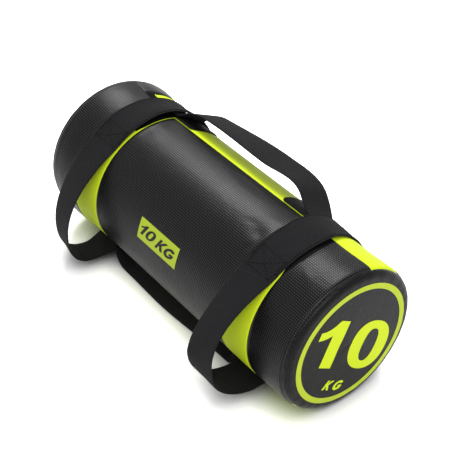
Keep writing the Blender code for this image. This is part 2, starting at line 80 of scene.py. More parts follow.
class Slot(Enum):
    """The record's material slots."""

    BLACK_FABRIC = "black_fabric"
    LIME_FABRIC = "lime_fabric"
    WEBBING = "black_webbing"
    FOAM = "foam"
    SACK = "sack_cloth"
    TIE = "tie_plastic"
    SAND = "sand"


class End(Enum):
    """The two ends of the bag, by the sign of X."""

    FAR = -1
    NEAR = 1

    @property
    def word(self) -> str:
        """The end's name in piece names."""
        return self.name.lower()


# ---------------------------------------------------------------- materials


def linear(code: str) -> tuple[float, float, float, float]:
    """Turns an sRGB hex colour into linear values.

    Args:
        code: Six hex digits, with or without a leading #.

    Returns:
        Linear red, green and blue, and full alpha.
    """
    digits = code.lstrip("#")
    values = [int(digits[index:index + 2], 16) / 255 for index in (0, 2, 4)]
    curved = [v / 12.92 if v <= 0.04045 else ((v + 0.055) / 1.055) ** 2.4 for v in values]
    return (*curved, 1.0)


def add_node(tree: Tree, kind: str, sockets: dict | None = None, **settings) -> Node:
    """Adds a node with its settings, its constants and its links.

    Args:
        tree: The tree that the node goes into.
        kind: The node's type.
        sockets: Input sockets by name or index, each with a constant or an output to link.
        settings: The node's own properties.

    Returns:
        The new node.
    """
    node = tree.nodes.new(kind)
    for key, value in settings.items():
        setattr(node, key, value)
    for key, value in (sockets or {}).items():
        if isinstance(value, Socket):
            tree.links.new(value, node.inputs[key])
        else:
            node.inputs[key].default_value = value
    return node


def add_math(tree: Tree, operation: str, *values) -> Socket:
    """Adds a Math node.

    Args:
        tree: The tree that the node goes into.
        operation: The node's operation.
        values: Its inputs in order, each a number or an output.

    Returns:
        The node's output.
    """
    return add_node(tree, "ShaderNodeMath", dict(enumerate(values)), operation=operation).outputs[0]


def add_noise(tree: Tree, size: float, **sockets: float) -> Socket:
    """Adds a noise on object coordinates.

    Args:
        tree: The tree that the nodes go into.
        size: The size of its patches in metres.
        sockets: The noise's other inputs.

    Returns:
        The noise, from 0 to 1.
    """
    where = add_node(tree, "ShaderNodeTexCoord").outputs["Object"]
    values = {"Vector": where, "Scale": 1 / size, **sockets}
    return add_node(tree, "ShaderNodeTexNoise", values).outputs["Fac"]


def link_range(tree: Tree, value: Socket, low: float, high: float, target: Socket) -> None:
    """Spreads a value that runs from 0 to 1 over a range and links it.

    Args:
        tree: The tree that the node goes into.
        value: The output that holds the value.
        low: What 0 becomes.
        high: What 1 becomes.
        target: The input that the result goes to.
    """
    spread = {"Value": value, "To Min": low, "To Max": high}
    tree.links.new(add_node(tree, "ShaderNodeMapRange", spread).outputs["Result"], target)


@dataclass(frozen=True)
class Finish:
    """A surface: its colour and how it takes the light. Kinds of surface add their own nodes.

    Args:
        name: The material's name, after the real material.
        colour: The main colour as an sRGB hex code.
        shade: A second colour that wear mixes in, and that the webbing paints into the gaps of its weave as
            shade.
        roughness: The middle roughness.
        specular: The specular level, 0.5 for an index of refraction of 1.5.
        sheen: How much fuzz catches the light.
    """

    name: str
    colour: str
    shade: str
    roughness: float
    specular: float = 0.5
    sheen: float = 0.0

    def material(self) -> bpy.types.Material:
        """Returns the material, built once."""
        made = bpy.data.materials.get(self.name)
        if made:
            return made
        made = bpy.data.materials.new(self.name)
        made.use_nodes = True
        tree = made.node_tree
        shader = tree.nodes["Principled BSDF"]
        shader.inputs["Specular IOR Level"].default_value = self.specular
        shader.inputs["Sheen Weight"].default_value = self.sheen
        shader.inputs["Sheen Roughness"].default_value = SHEEN_ROUGHNESS
        made.diffuse_color = linear(self.colour)
        self.dress(tree, shader)
        return made

    def dress(self, tree: Tree, shader: Node) -> None:
        """Adds the nodes that every surface has: mottled colour and uneven roughness."""
        self.mottle(tree, shader, size=0.03, amount=0.5)

    def mottle(self, tree: Tree, shader: Node, size: float, amount: float) -> None:
        """Mixes the second colour in by a soft noise and varies the roughness with it.

        Args:
            tree: The material's tree.
            shader: Its Principled node.
            size: The size of the patches in metres.
            amount: How far the second colour comes in, from 0 to 1.
        """
        noise = add_noise(tree, size, Detail=5.0)
        self.mix_colour(tree, shader, add_math(tree, "MULTIPLY", noise, amount))
        low, high = self.roughness - ROUGHNESS_SPREAD, self.roughness + ROUGHNESS_SPREAD
        link_range(tree, noise, low, high, shader.inputs["Roughness"])

    def mix_colour(self, tree: Tree, shader: Node, share: Socket) -> None:
        """Mixes the two colours by a share and links the result as the base colour.

        Args:
            tree: The tree that the nodes go into.
            shader: The shader that they feed.
            share: How much of the second colour shows, from 0 to 1.
        """
        values = {0: share, 6: linear(self.colour), 7: linear(self.shade)}
        mixed = add_node(tree, "ShaderNodeMix", values, data_type="RGBA")
        tree.links.new(mixed.outputs[2], shader.inputs["Base Color"])

    def add_bump(self, tree: Tree, shader: Node, height: Socket, depth: float) -> None:
        """Adds relief from a height that runs from 0 to 1.

        Args:
            tree: The material's tree.
            shader: Its Principled node.
            height: The output that holds the height.
            depth: The depth of the relief in metres.
        """
        values = {"Height": height, "Distance": depth, "Strength": 1.0}
        before = shader.inputs["Normal"].links
        if before:
            values["Normal"] = before[0].from_socket
        bump = add_node(tree, "ShaderNodeBump", values)
        tree.links.new(bump.outputs["Normal"], shader.inputs["Normal"])

    def cloth_axes(self, tree: Tree) -> tuple[Socket, Socket]:
        """Returns how far round or along, and how far across, a point lies on its cloth.

        Args:
            tree: The tree that the nodes go into.

        Returns:
            Both distances.
        """
        where = add_node(tree, "ShaderNodeUVMap", uv_map=UV_NAME).outputs["UV"]
        parts = add_node(tree, "ShaderNodeSeparateXYZ", {"Vector": where})
        return parts.outputs["X"], parts.outputs["Y"]

    def cloth_waves(self, tree: Tree, pitch: float) -> list[Socket]:
        """Returns a cosine wave for each axis of the cloth, with one crest in each pitch."""
        turns = [add_math(tree, "MULTIPLY", way, math.tau / pitch) for way in self.cloth_axes(tree)]
        return [add_math(tree, "COSINE", turn) for turn in turns]

    def grain(self, tree: Tree, size: float) -> Socket:
        """Returns a fine noise of a grain size in metres, on object coordinates."""
        return add_noise(tree, size, Detail=3.0, Roughness=0.6)


@dataclass(frozen=True)
class CoatedFabric(Finish):
    """PVC coated polyester, calendered hot against an embossing roll.

    The coat gives it a satin sheet of light, and the roll leaves rows of small raised squares.

    Args:
        pitch: The distance between rows. The real 1.5 mm is drawn at 2.9 mm, so that it shows.
        relief: The depth of the embossing.
        valley_gloss: How the specular level between the squares compares with the fabric's own.
        crest_gloss: The same on top of the squares, which the roll leaves smoother.
        squareness: The power that fills the squares out, softer the nearer to 1.
        grain_size: The size of the coat's grain.
        grain_relief: Its depth.
        crease_size: The size of the soft creases.
        crease_relief: Their depth.
    """

    pitch: float = 0.0029
    relief: float = 0.00010
    valley_gloss: float = 0.56
    crest_gloss: float = 3.7
    squareness: float = 0.7
    grain_size: float = 0.0009
    grain_relief: float = 0.00003
    crease_size: float = 0.022
    crease_relief: float = 0.0005

    def dress(self, tree: Tree, shader: Node) -> None:
        """Adds the coat's mottling, the embossed rows, a fine grain and soft creases.

        Args:
            tree: The tree that the nodes go into.
            shader: The shader that they feed.
        """
        self.mottle(tree, shader, size=0.045, amount=0.45)
        crests = [add_math(tree, "MAXIMUM", wave, 0.0) for wave in self.cloth_waves(tree, self.pitch)]
        squares = add_math(tree, "POWER", add_math(tree, "MULTIPLY", *crests), self.squareness)
        low, high = self.specular * self.valley_gloss, self.specular * self.crest_gloss
        link_range(tree, squares, low, high, shader.inputs["Specular IOR Level"])
        self.add_bump(tree, shader, squares, self.relief)
        self.add_bump(tree, shader, self.grain(tree, self.grain_size), self.grain_relief)
        self.add_bump(tree, shader, self.grain(tree, self.crease_size), self.crease_relief)


@dataclass(frozen=True)
class PrintInk(Finish):
    """Screen printed plastisol ink, which lies over the embossing and keeps a little of it.

    Args:
        pitch: The distance between rows of the embossing.
        relief: How much of its depth is left.
    """

    pitch: float = 0.0029
    relief: float = 0.00004

    def dress(self, tree: Tree, shader: Node) -> None:
        """Adds the ink's uneven cover and the embossing that shows through it.

        Args:
            tree: The tree that the nodes go into.
            shader: The shader that they feed.
        """
        self.mottle(tree, shader, size=0.012, amount=0.35)
        both = add_math(tree, "ADD", *self.cloth_waves(tree, self.pitch))
        height = add_math(tree, "MULTIPLY_ADD", both, 0.25, 0.5)
        self.add_bump(tree, shader, height, self.relief)


@dataclass(frozen=True)
class Webbing(Finish):
    """Polypropylene webbing, woven in narrow ribs that run its length.

    The cut fibres are matt, and each rib is a row of short slanted floats.

    Args:
        rib: The width of one rib.
        float_length: The length of one float of yarn, drawn at 2.2 mm, as coarse as shows.
        relief: The depth of the weave.
        gap_shade_share: How strongly painted shade darkens the gaps between the floats.
        slant: How far the floats lean for each rib.
        step: How far each rib's floats are set on from the next rib's.
        roundness: The power that rounds each rib, flatter the nearer to 0.
        fuzz_size: The size of the fuzz's grain.
        fuzz_relief: Its depth.
    """

    rib: float = 0.0021
    float_length: float = 0.0022
    relief: float = 0.0006
    gap_shade_share: float = 1.9
    slant: float = 0.35
    step: float = 0.5
    roundness: float = 0.6
    fuzz_size: float = 0.0012
    fuzz_relief: float = 0.00008

    def dress(self, tree: Tree, shader: Node) -> None:
        """Adds the weave, with painted shade in the gaps between the floats, and the yarn's fuzz.

        Args:
            tree: The tree that the nodes go into.
            shader: The shader that they feed.
        """
        along_way, across_way = self.cloth_axes(tree)
        ribs = add_math(tree, "DIVIDE", across_way, self.rib)
        step = add_math(tree, "MULTIPLY", add_math(tree, "FLOOR", ribs), self.step)
        floats = add_math(tree, "ADD", add_math(tree, "DIVIDE", along_way, self.float_length), step)
        slanted = add_math(tree, "MULTIPLY_ADD", ribs, self.slant, floats)
        turns = [add_math(tree, "MULTIPLY", place, math.pi) for place in (slanted, ribs)]
        long_wave, cross_wave = [add_math(tree, "ABSOLUTE", add_math(tree, "SINE", turn)) for turn in turns]
        weave = add_math(tree, "MULTIPLY", long_wave, add_math(tree, "POWER", cross_wave, self.roundness))
        fuzz = self.grain(tree, self.fuzz_size)
        # Painted shade: the second colour darkens the gaps between the floats, varied by the fuzz.
        gaps = add_math(tree, "MULTIPLY", add_math(tree, "SUBTRACT", 1.0, weave), self.gap_shade_share)
        self.mix_colour(tree, shader, add_math(tree, "MULTIPLY", gaps, fuzz))
        link_range(tree, fuzz, self.roughness - 0.08, self.roughness + 0.06, shader.inputs["Roughness"])
        self.add_bump(tree, shader, weave, self.relief)
        self.add_bump(tree, shader, fuzz, self.fuzz_relief)


@dataclass(frozen=True)
class Grainy(Finish):
    """A surface with one size of grain, such as foam cells, loose sand or moulded plastic.

    Args:
        grain_size: The size of a grain or cell.
        relief: How deep the grain is.
    """

    grain_size: float = 0.002
    relief: float = 0.0003

    def dress(self, tree: Tree, shader: Node) -> None:
        """Adds mottled colour and the grain."""
        self.mottle(tree, shader, size=self.grain_size * 2, amount=0.8)
        self.add_bump(tree, shader, self.grain(tree, self.grain_size), self.relief)


BLACK_FABRIC = CoatedFabric("black_coated_polyester", "#070708", "#0f0f10", 0.36, specular=0.185)
CAP_FABRIC = CoatedFabric("black_coated_polyester_turned", "#070708", "#0f0f10", 0.36, specular=0.14,
                          valley_gloss=0.85, crest_gloss=1.8)
LIME_FABRIC = CoatedFabric("lime_coated_polyester", "#c8dc24", "#bace1f", 0.55, specular=0.08, relief=0.00006)
# Its second colour is the shade painted into the gaps of the weave.
BLACK_WEBBING = Webbing("black_polypropylene_webbing", "#262628", "#020203", 0.78, specular=0.055,
                        sheen=0.015)
PATCH_FABRIC = CoatedFabric("black_patch_polyester", "#070708", "#0d0d0e", 0.65, specular=0.1, relief=0.00006)
# Painted shadow: very dark matt tape for the strips where the straps' raised edges throw shade.
SHADOW_TAPE_FABRIC = CoatedFabric("black_painted_shadow_tape", "#060607", "#0b0b0c", 0.75, specular=0.06, relief=0.00004)
# The thread is black, and is set darker than the webbing to paint the shade in the stitch holes.
BLACK_THREAD = Grainy("black_bonded_thread", "#060607", "#040405", 0.7, specular=0.05, grain_size=0.0006,
                      relief=0.00008)
LIME_INK = PrintInk("lime_screen_print", "#cfe222", "#c3d620", 0.5, specular=0.10)
RING_INK = PrintInk("lime_screen_print_ring", "#b9ca34", "#adbe30", 0.5, specular=0.12)
LABEL_INK = PrintInk("lime_screen_print_label", "#a2b330", "#96a72a", 0.5, specular=0.12)
BLACK_INK = PrintInk("black_screen_print", "#0d0e0f", "#151617", 0.5, specular=0.2)
FOAM = Grainy("polyester_wadding", "#b9b7b0", "#a19e96", 0.95, specular=0.2, sheen=0.3, grain_size=0.004,
              relief=0.001)
SACK_CLOTH = Grainy("unbleached_sack_cloth", "#cfc8b6", "#b3a98f", 0.9, specular=0.2, grain_size=0.0012,
                    relief=0.0003)
TIE_PLASTIC = Grainy("moulded_nylon", "#1b1b1c", "#262628", 0.42, grain_size=0.003, relief=0.00004)
SAND = Grainy("washed_sand", "#b59f7a", "#8f7b58", 1.0, specular=0.3, grain_size=0.0011, relief=0.0007)


# ---------------------------------------------------------------- meshes


def dressed(
    obj: bpy.types.Object, body: Body, slot: Slot, nodes: Iterable[str] = ()
) -> None:
    """Ties a finished piece to its body and hides the nodes it stands for.

    Args:
        obj: The piece.
        body: The body that it rides on.
        slot: Not used.
        nodes: The CAD nodes that it replaces.
    """
    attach(obj, body.value)
    for node in nodes:
        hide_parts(node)
    LOG.info("%s: %d faces, on %s", obj.name, len(obj.data.polygons), body.value)


def dressed_bend(
    obj: bpy.types.Object, body: Body, nodes: Iterable[str]
) -> None:
    """Bakes the webbing's placement into its mesh and hides the nodes that it replaces.

    Args:
        obj: The webbing.
        body: The body that its free part belongs to, which is only named in the log.
        nodes: The CAD nodes that it replaces.
    """
    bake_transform(obj)
    for node in nodes:
        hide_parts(node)
    LOG.info("%s: %d faces, bends from bag to %s", obj.name, len(obj.data.polygons), body.value)


def new_object(name: str, data: bpy.types.ID) -> bpy.types.Object:
    """Makes an object and links it to the scene.

    Args:
        name: Its name.
        data: What it shows.

    Returns:
        The new object.
    """
    obj = bpy.data.objects.new(name, data)
    bpy.context.scene.collection.objects.link(obj)
    return obj


def baked(obj: bpy.types.Object) -> bpy.types.Mesh:
    """Turns an object and its modifiers into a plain mesh, and removes the object.

    Args:
        obj: The object.

    Returns:
        The mesh.
    """
    seen = obj.evaluated_get(bpy.context.evaluated_depsgraph_get())
    data = bpy.data.meshes.new_from_object(seen)
    bpy.data.objects.remove(obj, do_unlink=True)
    return data


def new_piece(
    name: str, points: Array, faces: list, finish: Finish, uv: Array | None = None
) -> bpy.types.Object:
    """Makes a smooth shaded piece from points and faces.

    Args:
        name: The piece's name.
        points: One row of X, Y and Z for each point.
        faces: The point numbers of each face.
        finish: Its surface.
        uv: One row of cloth coordinates for each point, in metres.

    Returns:
        The new object, at the origin.
    """
    data = bpy.data.meshes.new(name)
    data.from_pydata(np.asarray(points).reshape(-1, 3).tolist(), [], faces)
    data.validate()
    if uv is not None:
        layer = data.uv_layers.new(name=UV_NAME)
        corners = np.empty(len(data.loops), dtype=np.int32)
        data.loops.foreach_get("vertex_index", corners)
        layer.data.foreach_set("uv", np.asarray(uv).reshape(-1, 2)[corners].astype(np.float32).ravel())
    shaped = bmesh.new()
    shaped.from_mesh(data)
    bmesh.ops.recalc_face_normals(shaped, faces=shaped.faces[:])
    shaped.to_mesh(data)
    shaped.free()
    data.materials.append(finish.material())
    data.shade_smooth()
    data.set_sharp_from_angle(angle=SMOOTH_ANGLE)
    return new_object(name, data)


def grid_faces(rows: int, columns: int, wrap_rows: bool = False, wrap_columns: bool = False) -> list:
    """Lists the faces of a grid of points, which may join up in either direction.

    Args:
        rows: How many rows of points.
        columns: How many points in each row.
        wrap_rows: Whether the last row joins the first.
        wrap_columns: Whether each row's end joins its start.

    Returns:
        The point numbers of each face.
    """
    faces = []
    for row in range(rows if wrap_rows else rows - 1):
        for column in range(columns if wrap_columns else columns - 1):
            down, right = (row + 1) % rows, (column + 1) % columns
            faces.append((row * columns + column, row * columns + right,
                          down * columns + right, down * columns + column))
    return faces


def both_sides(faces: list, count: int) -> list:
    """Adds the same faces turned over, on points that are a count further on."""
    return faces + [tuple(index + count for index in reversed(face)) for face in faces]


def fan_faces(first: int, count: int, middle: int) -> list:
    """Lists the triangles between a ring of points and its middle point."""
    return [(first + index, first + (index + 1) % count, middle) for index in range(count)]


def shell(name: str, outer: Array, inner: Array, uv: Array, finish: Finish) -> bpy.types.Object:
    """Makes a closed sheet with a wall from two grids of the same size.

    Args:
        name: The piece's name.
        outer: Points of the outer face, rows by columns by 3.
        inner: Points of the inner face.
        uv: Cloth coordinates of each point of one face.
        finish: Its surface.

    Returns:
        The new object.
    """
    rows, columns = outer.shape[:2]
    count = rows * columns
    faces = both_sides(grid_faces(rows, columns), count)
    first, last = range(columns), range((rows - 1) * columns, rows * columns)
    left, right = range(0, count, columns), range(columns - 1, count, columns)
    for edge in (list(first)[::-1], list(last), list(left), list(right)[::-1]):
        faces += [(a, b, b + count, a + count) for a, b in zip(edge, edge[1:])]
    points = np.concatenate([outer.reshape(-1, 3), inner.reshape(-1, 3)])
    cloth = np.concatenate([uv.reshape(-1, 2), uv.reshape(-1, 2)])
    return new_piece(name, points, faces, finish, cloth)


def tube(name: str, rings: Array, uv: Array, finish: Finish, closed: bool) -> bpy.types.Object:
    """Makes a tube through rings of points, joined up or capped.

    Args:
        name: The piece's name.
        rings: Rings by points by 3.
        uv: Cloth coordinates of each point.
        finish: Its surface.
        closed: Whether the last ring joins the first.

    Returns:
        The new object.
    """
    rows, columns = rings.shape[:2]
    faces = grid_faces(rows, columns, wrap_rows=closed, wrap_columns=True)
    if not closed:
        for base in (0, (rows - 1) * columns):
            for index in range(columns // 2 - 1):
                mirror = columns - 1 - index
                faces.append((base + index, base + index + 1, base + mirror - 1, base + mirror))
    return new_piece(name, rings, faces, finish, uv)


def smooth_share(share: float | Array) -> float | Array:
    """Eases shares from 0 to 1 with level ends."""
    held = np.clip(share, 0, 1)
    return held * held * (3 - 2 * held)


def bump_at(distance: Array, width: float) -> Array:
    """Returns 1 at no distance, falling off smoothly to 0 beyond a few widths."""
    return np.exp(-((distance / width) ** 2))


def full_turn(count: int) -> Array:
    """Lists angles once round, evenly spaced from 0."""
    return np.linspace(0, math.tau, count, endpoint=False)


def wrapped(angle: float | Array) -> float | Array:
    """Brings angles to between minus and plus half a turn."""
    return (angle + math.pi) % math.tau - math.pi


def uneven_wave(place: Array, rate: float, drift: float, drift_rate: float) -> Array:
    """Makes a wave whose spacing drifts.

    Args:
        place: Where it is read.
        rate: How fast its phase runs.
        drift: How far the phase drifts either way.
        drift_rate: How fast the drift runs.

    Returns:
        The wave, from -1 to 1.
    """
    return np.sin(place * rate + drift * np.sin(place * drift_rate))


def bezier(points: Sequence[Vector], share: float) -> tuple[Vector, Vector]:
    """Returns the point and the direction of a cubic curve at a share of its length.

    Args:
        points: Its start, its two handles and its end.
        share: From 0 to 1.

    Returns:
        The point and the direction.
    """
    start, start_pull, end_pull, end = points
    share = float(share)
    rest = 1 - share
    place = (rest**3 * start + 3 * rest**2 * share * start_pull
             + 3 * rest * share**2 * end_pull + share**3 * end)
    heading = (rest**2 * (start_pull - start) + 2 * rest * share * (end_pull - start_pull)
               + share**2 * (end - end_pull))
    return place, heading.normalized()


# ---------------------------------------------------------------- the bag's form


@dataclass(frozen=True)
class BagForm:
    """The bag's main sizes, as the frame has them, and how its stuffing and seams move them.

    Args:
        radius: The outside radius of the cover.
        half_length: Half the length over both caps.
        axis_height: The height of the axis over the floor.
        clearance: The gap between pieces that lie on each other.
        cover_thickness: The thickness of the fabric.
        cap_depth: How far a cap's seam lies in from its face.
        cap_flat_radius: The radius of a cap's flat part.
        end_turn_length: The length over which the cover turns in at its ends.
        end_turn_drop: How far it turns in.
        band_width: The width of the lime bands.
        webbing_width: The width of the webbing.
        webbing_thickness: Its thickness.
        far_strap: The middle of the far strap along X.
        near_strap: The middle of the near strap.
        recess_ramp: The length over which the underside comes down beside a strap.
        back_panel_far: The far end of the back lime strip along X.
        panel_half_angle: Half the angle that the lime strips span.
        back_angle: The angle of the back handle.
        leave_angle: The angle at which the loops leave the bag.
        return_angle: The angle at which they come back to it.
        far_swell_height: How far the far end swells.
        far_swell_start: How far along -X it starts to swell.
        far_swell_run: The length over which it does.
        seam_run_length: How far the near band's outer seam runs in.
        seam_run_edge: The angle up to which it does.
        seam_run_fade: The angle over which it comes back.
        end_lift_start: How far from the middle the ends start to lift.
        end_lift_run: The length over which they do.
        end_lifts: For each end the sign of X, how far it lifts and at which angle.
    """

    radius: float = 0.100
    half_length: float = 0.2518
    axis_height: float = 0.098
    clearance: float = 0.0003
    cover_thickness: float = 0.0012
    cap_depth: float = 0.0068
    cap_flat_radius: float = 0.088
    end_turn_length: float = 0.008
    end_turn_drop: float = 0.0024
    band_width: float = 0.052
    webbing_width: float = 0.050
    webbing_thickness: float = 0.0024
    far_strap: float = -0.167
    near_strap: float = 0.157
    recess_ramp: float = 0.004
    back_panel_far: float = -0.212
    panel_half_angle: float = math.radians(16)
    back_angle: float = math.radians(-35)
    leave_angle: float = math.radians(33)
    return_angle: float = math.radians(145)
    far_swell_height: float = 0.0055
    far_swell_start: float = 0.165
    far_swell_run: float = 0.065
    seam_run_length: float = 0.0034
    seam_run_edge: float = math.radians(21)
    seam_run_fade: float = math.radians(12)
    end_lift_start: float = 0.196
    end_lift_run: float = 0.045
    end_lifts: tuple[tuple[int, float, float], ...] = (
        (-1, 0.0020, math.radians(-25)), (1, 0.0012, math.radians(-50)))

    @property
    def seam_place(self) -> float:
        """The place along X of the near cap's seam."""
        return self.half_length - self.cap_depth

    @property
    def front_angle(self) -> float:
        """The angle of the front handle, opposite the back one."""
        return self.back_angle + math.pi

    @property
    def seam_angles(self) -> list[float]:
        """The angles of the lengthwise seams, once round the bag."""
        back, front, half = self.back_angle, self.front_angle, self.panel_half_angle
        return [back - half, back + half, front - half, front + half, back - half + math.tau]

    @property
    def strap_radius(self) -> float:
        """The radius of the middle of a strap that lies on the cover."""
        return self.radius + self.clearance + self.webbing_thickness / 2

    def strap_place(self, end: End) -> float:
        """The middle of a strap along X."""
        return self.near_strap if end is End.NEAR else self.far_strap

    def strap_edge(self, end: End) -> float:
        """Where the sewn parts stop short of a strap, on its side towards the middle."""
        return self.strap_place(end) - end.value * (self.webbing_width / 2 + self.clearance)

    def far_swell(self, x: Array) -> Array:
        """How far the stuffing swells the far end, beyond the tight strap."""
        return self.far_swell_height * smooth_share((-x - self.far_swell_start) / self.far_swell_run)

    def end_lift(self, x: Array, angle: Array) -> Array:
        """How far the stuffing pushes both ends up and back, out of line with the axis.

        Args:
            x: Places along X.
            angle: Angles round the bag.

        Returns:
            The distance out from the axis.
        """
        lift = 0.0
        for side, height, way in self.end_lifts:
            share = smooth_share((side * x - self.end_lift_start) / self.end_lift_run)
            lift = lift + height * share * np.cos(angle - way)
        return lift

    def seam_run(self, angle: Array) -> Array:
        """How far the near band's outer seam runs in under its strap along the top."""
        past_edge = smooth_share((wrapped(angle) - self.seam_run_edge) / self.seam_run_fade)
        return self.seam_run_length * (1 - past_edge)

    def recess(self, x: Array) -> Array:
        """How far the straps push the underside up from the floor.

        Args:
            x: Places along X.

        Returns:
            The height over the floor.
        """
        nearest = np.minimum(abs(x - self.far_strap), abs(x - self.near_strap))
        past_edge = nearest - self.webbing_width / 2 - self.clearance
        return np.clip(1 - past_edge / self.recess_ramp, 0, 1) * (self.webbing_thickness + self.clearance)

    def cover_radius(self, x: Array) -> Array:
        """The plain outside radius of the cover, which turns in at both ends."""
        share = np.maximum(0, (abs(x) - self.seam_place + self.end_turn_length) / self.end_turn_length)
        return self.radius - self.end_turn_drop * np.minimum(share, 1) ** 2 + self.far_swell(x)

    def point(self, x: Array, angle: Array, radius: Array, depth: float | Array = 0.0) -> Array:
        """Points at places along the bag and angles round it, pressed flat by the floor.

        Args:
            x: Places along X.
            angle: Angles round the bag.
            radius: Distances from its axis.
            depth: How deep in the cover the layer lies.

        Returns:
            The points, with a last axis of 3.
        """
        x, angle, radius, depth = np.broadcast_arrays(x, angle, radius, depth)
        z = self.axis_height + radius * np.cos(angle)
        z = np.maximum(z, self.recess(x) + depth)
        return np.stack([x, -radius * np.sin(angle), z], axis=-1)


CLOTH_SETTINGS = {
    "quality": 6, "mass": 0.3, "tension_stiffness": 20, "compression_stiffness": 20, "shear_stiffness": 8,
    "bending_stiffness": 1.2, "use_pressure": True, "shrink_min": 0.004, "vertex_group_mass": "held"}


@dataclass(frozen=True)
class Stuffing:
    """Blows the cover up between its seams with a cloth simulation, as tight wadding does.

    Args:
        rows: Points along the bag.
        columns: Points round it.
        pressure: The pressure inside.
        frames: How long it swells.
        cap: The furthest that the cloth may stand proud of the plain form.
        hollow: The furthest that it may sink.
        seam_hold: How far beside a seam or a strap the cloth is held.
        rim_hold: How near an end, or the floor, it is held.
        unevenness: How uneven it is before it swells.
        seed: The seed of the unevenness.
    """

    rows: int = 124
    columns: int = 160
    pressure: float = 4.0
    frames: int = 20
    cap: float = 0.0011
    hollow: float = 0.0007
    seam_hold: float = 0.003
    rim_hold: float = 0.004
    unevenness: float = 0.00006
    seed: int = 7

    def places(self, form: BagForm) -> tuple[Array, Array]:
        """Returns the grid's places along X and its angles."""
        ends = form.seam_place
        return np.linspace(-ends, ends, self.rows), full_turn(self.columns)

    def held(self, form: BagForm, x: Array, angle: Array) -> Array:
        """Returns how firmly seams, straps and the floor hold each point, from 0 to 1.

        Args:
            form: The bag.
            x: Places along X.
            angle: Angles round the bag.

        Returns:
            The share by which each point is held.
        """
        held = (abs(x) > form.seam_place - self.rim_hold).astype(float)
        for seam in form.seam_angles[:4]:
            held = np.maximum(held, abs(wrapped(angle - seam)) * form.radius < self.seam_hold)
        for place in (form.far_strap, form.near_strap):
            held = np.maximum(held, abs(x - place) < form.webbing_width / 2 + self.seam_hold)
        floor = form.axis_height + form.radius * np.cos(angle) < self.rim_hold
        return np.maximum(held, floor)

    def swell(self, form: BagForm) -> Array:
        """Runs the simulation.

        Args:
            form: The bag.

        Returns:
            How far each grid point moves outwards, rows by columns.
        """
        x, angle = self.places(form)
        grid_x, grid_angle = np.meshgrid(x, angle, indexing="ij")
        rest = form.point(grid_x, grid_angle, form.cover_radius(grid_x))
        noise = np.random.default_rng(self.seed).normal(0, self.unevenness, rest.shape[:2])
        out = np.stack([0 * grid_x, -np.sin(grid_angle), np.cos(grid_angle)], axis=-1)
        held = self.held(form, grid_x, grid_angle)
        start = rest + out * (noise * (held < 0.5))[..., None]
        faces = grid_faces(self.rows, self.columns, wrap_columns=True)
        data = bpy.data.meshes.new("pressure_blank")
        data.from_pydata(start.reshape(-1, 3).tolist(), [], faces)
        blank = new_object("pressure_blank", data)
        group = blank.vertex_groups.new(name="held")
        group.add([int(index) for index in np.flatnonzero(held.ravel() > 0.5)], 1.0, "REPLACE")
        moved = self.run(blank)
        bpy.data.objects.remove(blank, do_unlink=True)
        gain = ((moved.reshape(rest.shape) - rest) * out).sum(axis=-1)
        LOG.info("cloth moved outwards by %.2f to %.2f mm", gain.min() * 1000, gain.max() * 1000)
        return np.clip(gain, -self.hollow, self.cap)

    def run(self, blank: bpy.types.Object) -> Array:
        """Steps the cloth and returns its points; the blank's outward side is its front.

        Args:
            blank: The cloth's object.

        Returns:
            One row of X, Y and Z for each point.
        """
        modifier = blank.modifiers.new("Cloth", "CLOTH")
        for key, value in CLOTH_SETTINGS.items():
            setattr(modifier.settings, key, value)
        modifier.settings.uniform_pressure_force = self.pressure
        modifier.settings.effector_weights.gravity = 0
        modifier.collision_settings.use_collision = False
        modifier.point_cache.frame_start = 1
        modifier.point_cache.frame_end = self.frames
        scene = bpy.context.scene
        for step in range(1, self.frames + 1):
            scene.frame_set(step)
        evaluated = blank.evaluated_get(bpy.context.evaluated_depsgraph_get())
        flat = np.empty(len(evaluated.data.vertices) * 3)
        evaluated.data.vertices.foreach_get("co", flat)
        scene.frame_set(1)
        return flat.reshape(-1, 3)


@dataclass(frozen=True)
class Dent:
    """A soft hollow or swelling in the cover.

    Args:
        x: Its place along the bag.
        angle: Its angle round the bag, in degrees.
        length: Its reach along the bag.
        width: Its reach round the bag.
        depth: How deep it is, or how high where it is negative.
        turn: How far it lies out of line with the bag, in degrees.
    """

    x: float
    angle: float
    length: float
    width: float
    depth: float
    turn: float = 0.0

    def at(self, form: BagForm, x: Array, angle: Array) -> Array:
        """Returns its depth at places along the bag and angles round it.

        Args:
            form: The bag.
            x: Places along X.
            angle: Angles round the bag.

        Returns:
            The depths.
        """
        along = x - self.x
        across = wrapped(angle - math.radians(self.angle)) * form.radius
        turn = math.radians(self.turn)
        far = (along * math.cos(turn) + across * math.sin(turn)) / self.length
        wide = (across * math.cos(turn) - along * math.sin(turn)) / self.width
        return self.depth * np.exp(-(far**2 + wide**2))


DENTS = (
    Dent(0.1160, 17.5, 0.0140, 0.0090, 0.0016, 14),
    Dent(0.1120, 3.0, 0.0100, 0.0070, -0.0006, 0),
    Dent(0.0960, 14.0, 0.0100, 0.0045, 0.0006, -20),
    Dent(0.1220, 30.0, 0.0060, 0.0060, 0.0006, 0),
    Dent(0.1920, 3.0, 0.0070, 0.0120, 0.0006, 10),
    Dent(0.2100, 20.0, 0.0140, 0.0050, -0.0005, 20),
    Dent(-0.1300, 12.0, 0.0070, 0.0090, 0.0006, 0),
    Dent(-0.1250, -8.0, 0.0120, 0.0060, 0.0005, 25),
    Dent(0.0400, -10.0, 0.0300, 0.0070, 0.0004, 4),
    Dent(-0.0500, 200.0, 0.0260, 0.0090, 0.0009, 20),
    Dent(0.0700, 236.0, 0.0200, 0.0080, 0.0009, -15),
    Dent(0.1180, 262.0, 0.0070, 0.0120, 0.0010, 0),
    Dent(-0.1290, 248.0, 0.0070, 0.0150, 0.0010, 10),
    Dent(0.0100, 281.0, 0.0330, 0.0070, 0.0007, 8),
    Dent(-0.2080, 112.0, 0.0160, 0.0320, 0.0018, 0),
)


